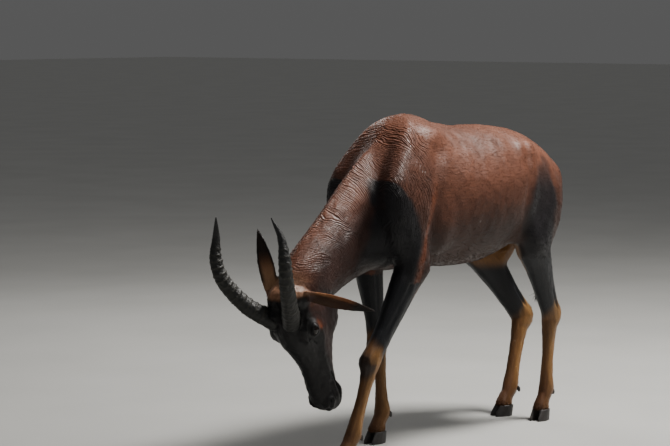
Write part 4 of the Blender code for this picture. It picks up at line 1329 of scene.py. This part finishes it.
def add(tree, kind, inputs=None, output=0, stops=(), **settings):
    """Adds a node. Inputs are plain values or outputs of other nodes; gives back one of its own outputs."""
    node = tree.nodes.new("ShaderNode" + kind)
    for key, value in settings.items():
        setattr(node, key, value)
    for number, (position, colour) in enumerate(stops):
        elements = node.color_ramp.elements
        element = elements[number] if number < 2 else elements.new(position)
        element.position, element.color = position, (*linear(colour), 1.0)
    for socket, value in (inputs or {}).items():
        if isinstance(value, bpy.types.NodeSocket):
            tree.links.new(value, node.inputs[socket])
        else:
            node.inputs[socket].default_value = value
    return node.outputs[output] if node.outputs else None


def attribute(tree, name):
    """A number painted on the mesh."""
    return add(tree, "Attribute", output="Fac", attribute_name=name)


def noise(tree, places, scale, detail, roughness=0.5, **settings):
    """A noise with this many swells to a metre of these places."""
    inputs = {"Vector": places, "Scale": scale, "Detail": detail, "Roughness": roughness}
    return add(tree, "TexNoise", inputs, **settings)


def grain(tree, *measures):
    """A noise through the body of the piece."""
    return noise(tree, add(tree, "TexCoord", output="Object"), *measures)


def drawn_out(tree, places, *scale):
    """Places stretched by a scale along each axis."""
    return add(tree, "Mapping", {"Vector": places, "Scale": scale})


def sums(tree, operation, *inputs):
    """A sum done on plain numbers or outputs."""
    return add(tree, "Math", dict(enumerate(inputs)), operation=operation)


def remapped(tree, source, *ends):
    """A value taken from between two ends to between two others."""
    return add(tree, "MapRange", {0: source, **dict(enumerate(ends, 1))})


def marked(tree, tone):
    """The painted markings, made lighter and darker by a tone."""
    marks = add(tree, "VertexColor", layer_name="coat")
    return add(tree, "VectorMath", {0: marks, 1: tone}, operation="MULTIPLY")


def ramp(tree, source, *stops):
    """Colours by value."""
    return add(tree, "ValToRGB", {"Fac": source}, stops=stops)


def overlaid(tree, share, colour, other):
    """A share of another colour laid over this one."""
    return add(tree, "Mix", {0: share, 6: colour, 7: (*linear(other), 1.0)}, output=2, data_type="RGBA")


def relief(tree, height, strength, distance, **under):
    """Fine relief from a height, over the relief under it if there is one."""
    return add(tree, "Bump", {"Height": height, "Strength": strength, "Distance": distance, **under})


def new_material(name, look):
    """A material whose shader takes the inputs that look(tree) gives."""
    material = bpy.data.materials.new(name)
    material.use_nodes = True
    tree = material.node_tree
    tree.nodes.clear()
    surface = add(tree, "BsdfPrincipled", look(tree))
    add(tree, "OutputMaterial", {"Surface": surface})
    return material


def short_coat(tree):
    """Short sleek summer coat seen as a surface: fine streaks along the lie break the gloss into silk."""
    lie = add(tree, "UVMap", uv_map="lie")
    # real hairs are 0.05 mm thick; streaks of 1.6 mm across and 18 mm long are the finest that show
    streaks = noise(tree, drawn_out(tree, lie, 620.0, 55.0, 1.0), 1.0, 3.0, 0.6, noise_dimensions="2D")
    clumps = noise(tree, drawn_out(tree, lie, 170.0, 26.0, 1.0), 1.0, 2.0, 0.5, noise_dimensions="2D")
    hairs = sums(tree, "ADD", streaks, clumps)
    dry = remapped(tree, clumps, 0.3, 0.7, 0.38, 0.52)
    # two fine creases to each modelled fold
    swayed = sums(tree, "MULTIPLY_ADD", grain(tree, 30.0, 1.0), 0.9, attribute(tree, "fold"))
    wave = sums(tree, "SINE", sums(tree, "MULTIPLY", swayed, 2 * math.pi))
    creases = sums(tree, "MULTIPLY", sums(tree, "ABSOLUTE", wave), attribute(tree, "fold_depth"))
    return {
        "Base Color": marked(tree, remapped(tree, hairs, 0.6, 1.4, 0.72, 1.24)),
        "Roughness": add(tree, "Mix", {0: attribute(tree, "gloss"), 2: dry, 3: 0.28}, data_type="FLOAT"),
        "Normal": relief(tree, creases, 0.9, 0.0022, Normal=relief(tree, hairs, 0.55, 0.0011)),
        "IOR": KERATIN,
        "Specular IOR Level": 0.24,  # loose hair returns less of it than a solid sheet
        "Sheen Weight": 0.04,
        "Sheen Roughness": 0.35,
    }


def coat_locks(tree):
    """The same coat as separate locks: keratin, sleek, finely mottled."""
    return {
        "Base Color": marked(tree, remapped(tree, grain(tree, 450.0, 2.0), 0.3, 0.7, 0.84, 1.14)),
        "Roughness": 0.58,
        "IOR": KERATIN,
        "Specular IOR Level": 0.18,
        "Sheen Weight": 0.02,
        "Sheen Roughness": 0.4,
    }


def horn_keratin(tree):
    """Horn keratin, air-dried and rubbed: near black with a green cast, pale dust and wear on the rings."""
    # patches of scurf 12 mm across, specks of 2.4 mm
    patches, specks = grain(tree, 85.0, 6.0, 0.65), grain(tree, 420.0, 3.0, 0.6)
    base = ramp(tree, patches, (0.30, "080807"), (0.50, "10110E"), (0.66, "201F19"), (0.80, "3B372D"))
    worn = remapped(tree, sums(tree, "MULTIPLY", attribute(tree, "ridge"), specks), 0.35, 0.65, 0.0, 0.35)
    tip = remapped(tree, attribute(tree, "share"), 0.60, 0.95, 0.0, 0.72)
    return {
        "Base Color": overlaid(tree, tip, overlaid(tree, worn, base, "504B3F"), "17181A"),
        "Roughness": remapped(tree, patches, 0.3, 0.7, 0.42, 0.68),
        "Normal": relief(tree, sums(tree, "ADD", specks, patches), 0.6, 0.0010),
        "IOR": KERATIN,
        "Specular IOR Level": 0.35,  # dry and dusty
    }


def hoof_keratin(tree):
    """Hoof keratin, worn: near black, with growth bands and dry scuffs."""
    places = add(tree, "TexCoord", output="Object")
    growth = noise(tree, drawn_out(tree, places, 60.0, 60.0, 420.0), 1.0, 4.0, 0.6)
    return {
        "Base Color": ramp(tree, growth, (0.35, "171514"), (0.60, "2B2623"), (0.80, "4A4038")),
        "Roughness": remapped(tree, growth, 0.3, 0.7, 0.38, 0.62),
        "Normal": relief(tree, growth, 0.4, 0.0008),
        "IOR": KERATIN,
    }


def wet_eye(tree):
    """A wet dark eye: brown iris, level black pupil, a clear cornea over all."""
    away = attribute(tree, "from_pupil")
    jagged = sums(tree, "MULTIPLY_ADD", grain(tree, 900.0, 2.0), away, away)
    pupil_and_iris = (0.00, "050404"), (0.27, "060504"), (0.34, "170D08"), (0.55, "1E110A")
    return {
        "Base Color": ramp(tree, jagged, *pupil_and_iris, (0.66, "0A0605"), (0.80, "170F0C")),
        "Roughness": 0.12,
        "IOR": CORNEA,
        "Coat Weight": 0.35,
        "Coat IOR": CORNEA,
        "Coat Roughness": 0.04,
    }


def lid_skin(tree):
    """Bare lid skin: black, finely creased, a little moist."""
    creases = grain(tree, 700.0, 3.0)
    return {
        "Base Color": marked(tree, remapped(tree, creases, 0.3, 0.7, 0.8, 1.3)),
        "Normal": relief(tree, creases, 0.5, 0.0005),
        "Roughness": 0.55,
        "Specular IOR Level": 0.30,
    }


def studio_floor(tree):
    """Matt pale studio floor."""
    mottle = grain(tree, 1.5, 2.0)
    return {"Base Color": ramp(tree, mottle, (0.3, "A4A4A1"), (0.7, "AAAAA7")), "Roughness": 0.8}


# ---- stage ----
VIEW_TURN = 50.0  # degrees from +Y towards +X that the camera looks
VIEW_BACK = 7.84  # metres from the withers, along the look
VIEW_ASIDE = 0.221  # metres that the withers stand right of the look
VIEW_HEIGHT = 1.56
VIEW_DROP = math.atan(203 / 2163)  # angle below the level
SENSOR = 36.0  # millimetres across
LENS = 116.2
FAR = 200.0
WORLD_LEVEL = 0.24


def make_camera():
    """The camera, at eye height off the animal's left front."""
    turn = math.radians(VIEW_TURN)
    ahead = Vector((math.sin(turn), math.cos(turn), 0))
    right = Vector((math.cos(turn), -math.sin(turn), 0))
    look = ahead * math.cos(VIEW_DROP) - Vector((0, 0, 1)) * math.sin(VIEW_DROP)
    camera = bpy.data.objects.new("camera", bpy.data.cameras.new("camera"))
    bpy.context.scene.collection.objects.link(camera)
    stand = Matrix((right, right.cross(look), -look)).transposed().to_4x4()
    floor_point = Vector(WITHERS) - ahead * VIEW_BACK - right * VIEW_ASIDE
    stand.translation = (floor_point.x, floor_point.y, VIEW_HEIGHT)
    camera.matrix_world = stand
    camera.data.sensor_width = SENSOR
    camera.data.lens = LENS
    camera.data.clip_end = FAR
    bpy.context.scene.camera = camera


def add_light(name, place, target, size, power, colour):
    """A soft box at a place, turned to a target."""
    light = bpy.data.lights.new(name, "AREA")
    light.shape = "RECTANGLE"
    light.size, light.size_y = size
    light.energy = power
    light.color = colour
    lamp = bpy.data.objects.new(name, light)
    bpy.context.scene.collection.objects.link(lamp)
    lamp.location = place
    lamp.rotation_euler = (Vector(target) - Vector(place)).to_track_quat("-Z", "Y").to_euler()


def make_stage():
    """Pale floor and soft studio light, strongest from above and behind."""
    floor = primitive("floor", bpy.ops.mesh.primitive_plane_add, size=120.0, location=(0, 0, -0.0003))
    floor.data.materials.append(new_material("studio_floor", studio_floor))
    add_light("key_light", (1.9, -1.4, 4.6), (0.1, 0.0, 0.9), (1.2, 1.2), 520, (1.0, 0.97, 0.93))
    add_light("front_light", (-3.6, -3.6, 2.4), (0.1, 0.0, 0.6), (2.4, 2.0), 10, (0.95, 0.97, 1.0))
    add_light("back_light", (2.2, 3.6, 3.0), (0.2, 0.0, 0.9), (1.5, 1.5), 40, (1.0, 0.98, 0.95))
    world = bpy.data.worlds.new("studio")
    bpy.context.scene.world = world
    world.use_nodes = True
    tree = world.node_tree
    background = tree.nodes["Background"]
    # brightest overhead; the horizon is as bright as the floor that meets it
    upward = add(tree, "SeparateXYZ", {0: add(tree, "TexCoord", output="Generated")}, output=2)
    tree.links.new(remapped(tree, upward, 0.0, 1.0, 0.42, 1.0), background.inputs[0])
    background.inputs[1].default_value = WORLD_LEVEL


# ---- the model ----
make_camera()
make_stage()
skin_piece = make_skin(new_material("topi_short_coat", short_coat))
locks = new_material("topi_coat_locks", coat_locks)
grow_coat(skin_piece, locks)
horn = new_material("weathered_horn_keratin", horn_keratin)
hoof = new_material("hoof_keratin", hoof_keratin)
eye = new_material("wet_eye", wet_eye)
lid = new_material("lid_skin", lid_skin)
for side_name in SIDES:
    make_horn(side_name, horn)
    make_eye(side_name, eye)
    make_lids(side_name, lid)
    make_lashes(side_name, locks)
for node in sorted(frame["nodes"]):
    if node.startswith(("claw", "dewclaw")):
        make_claw(node, hoof)
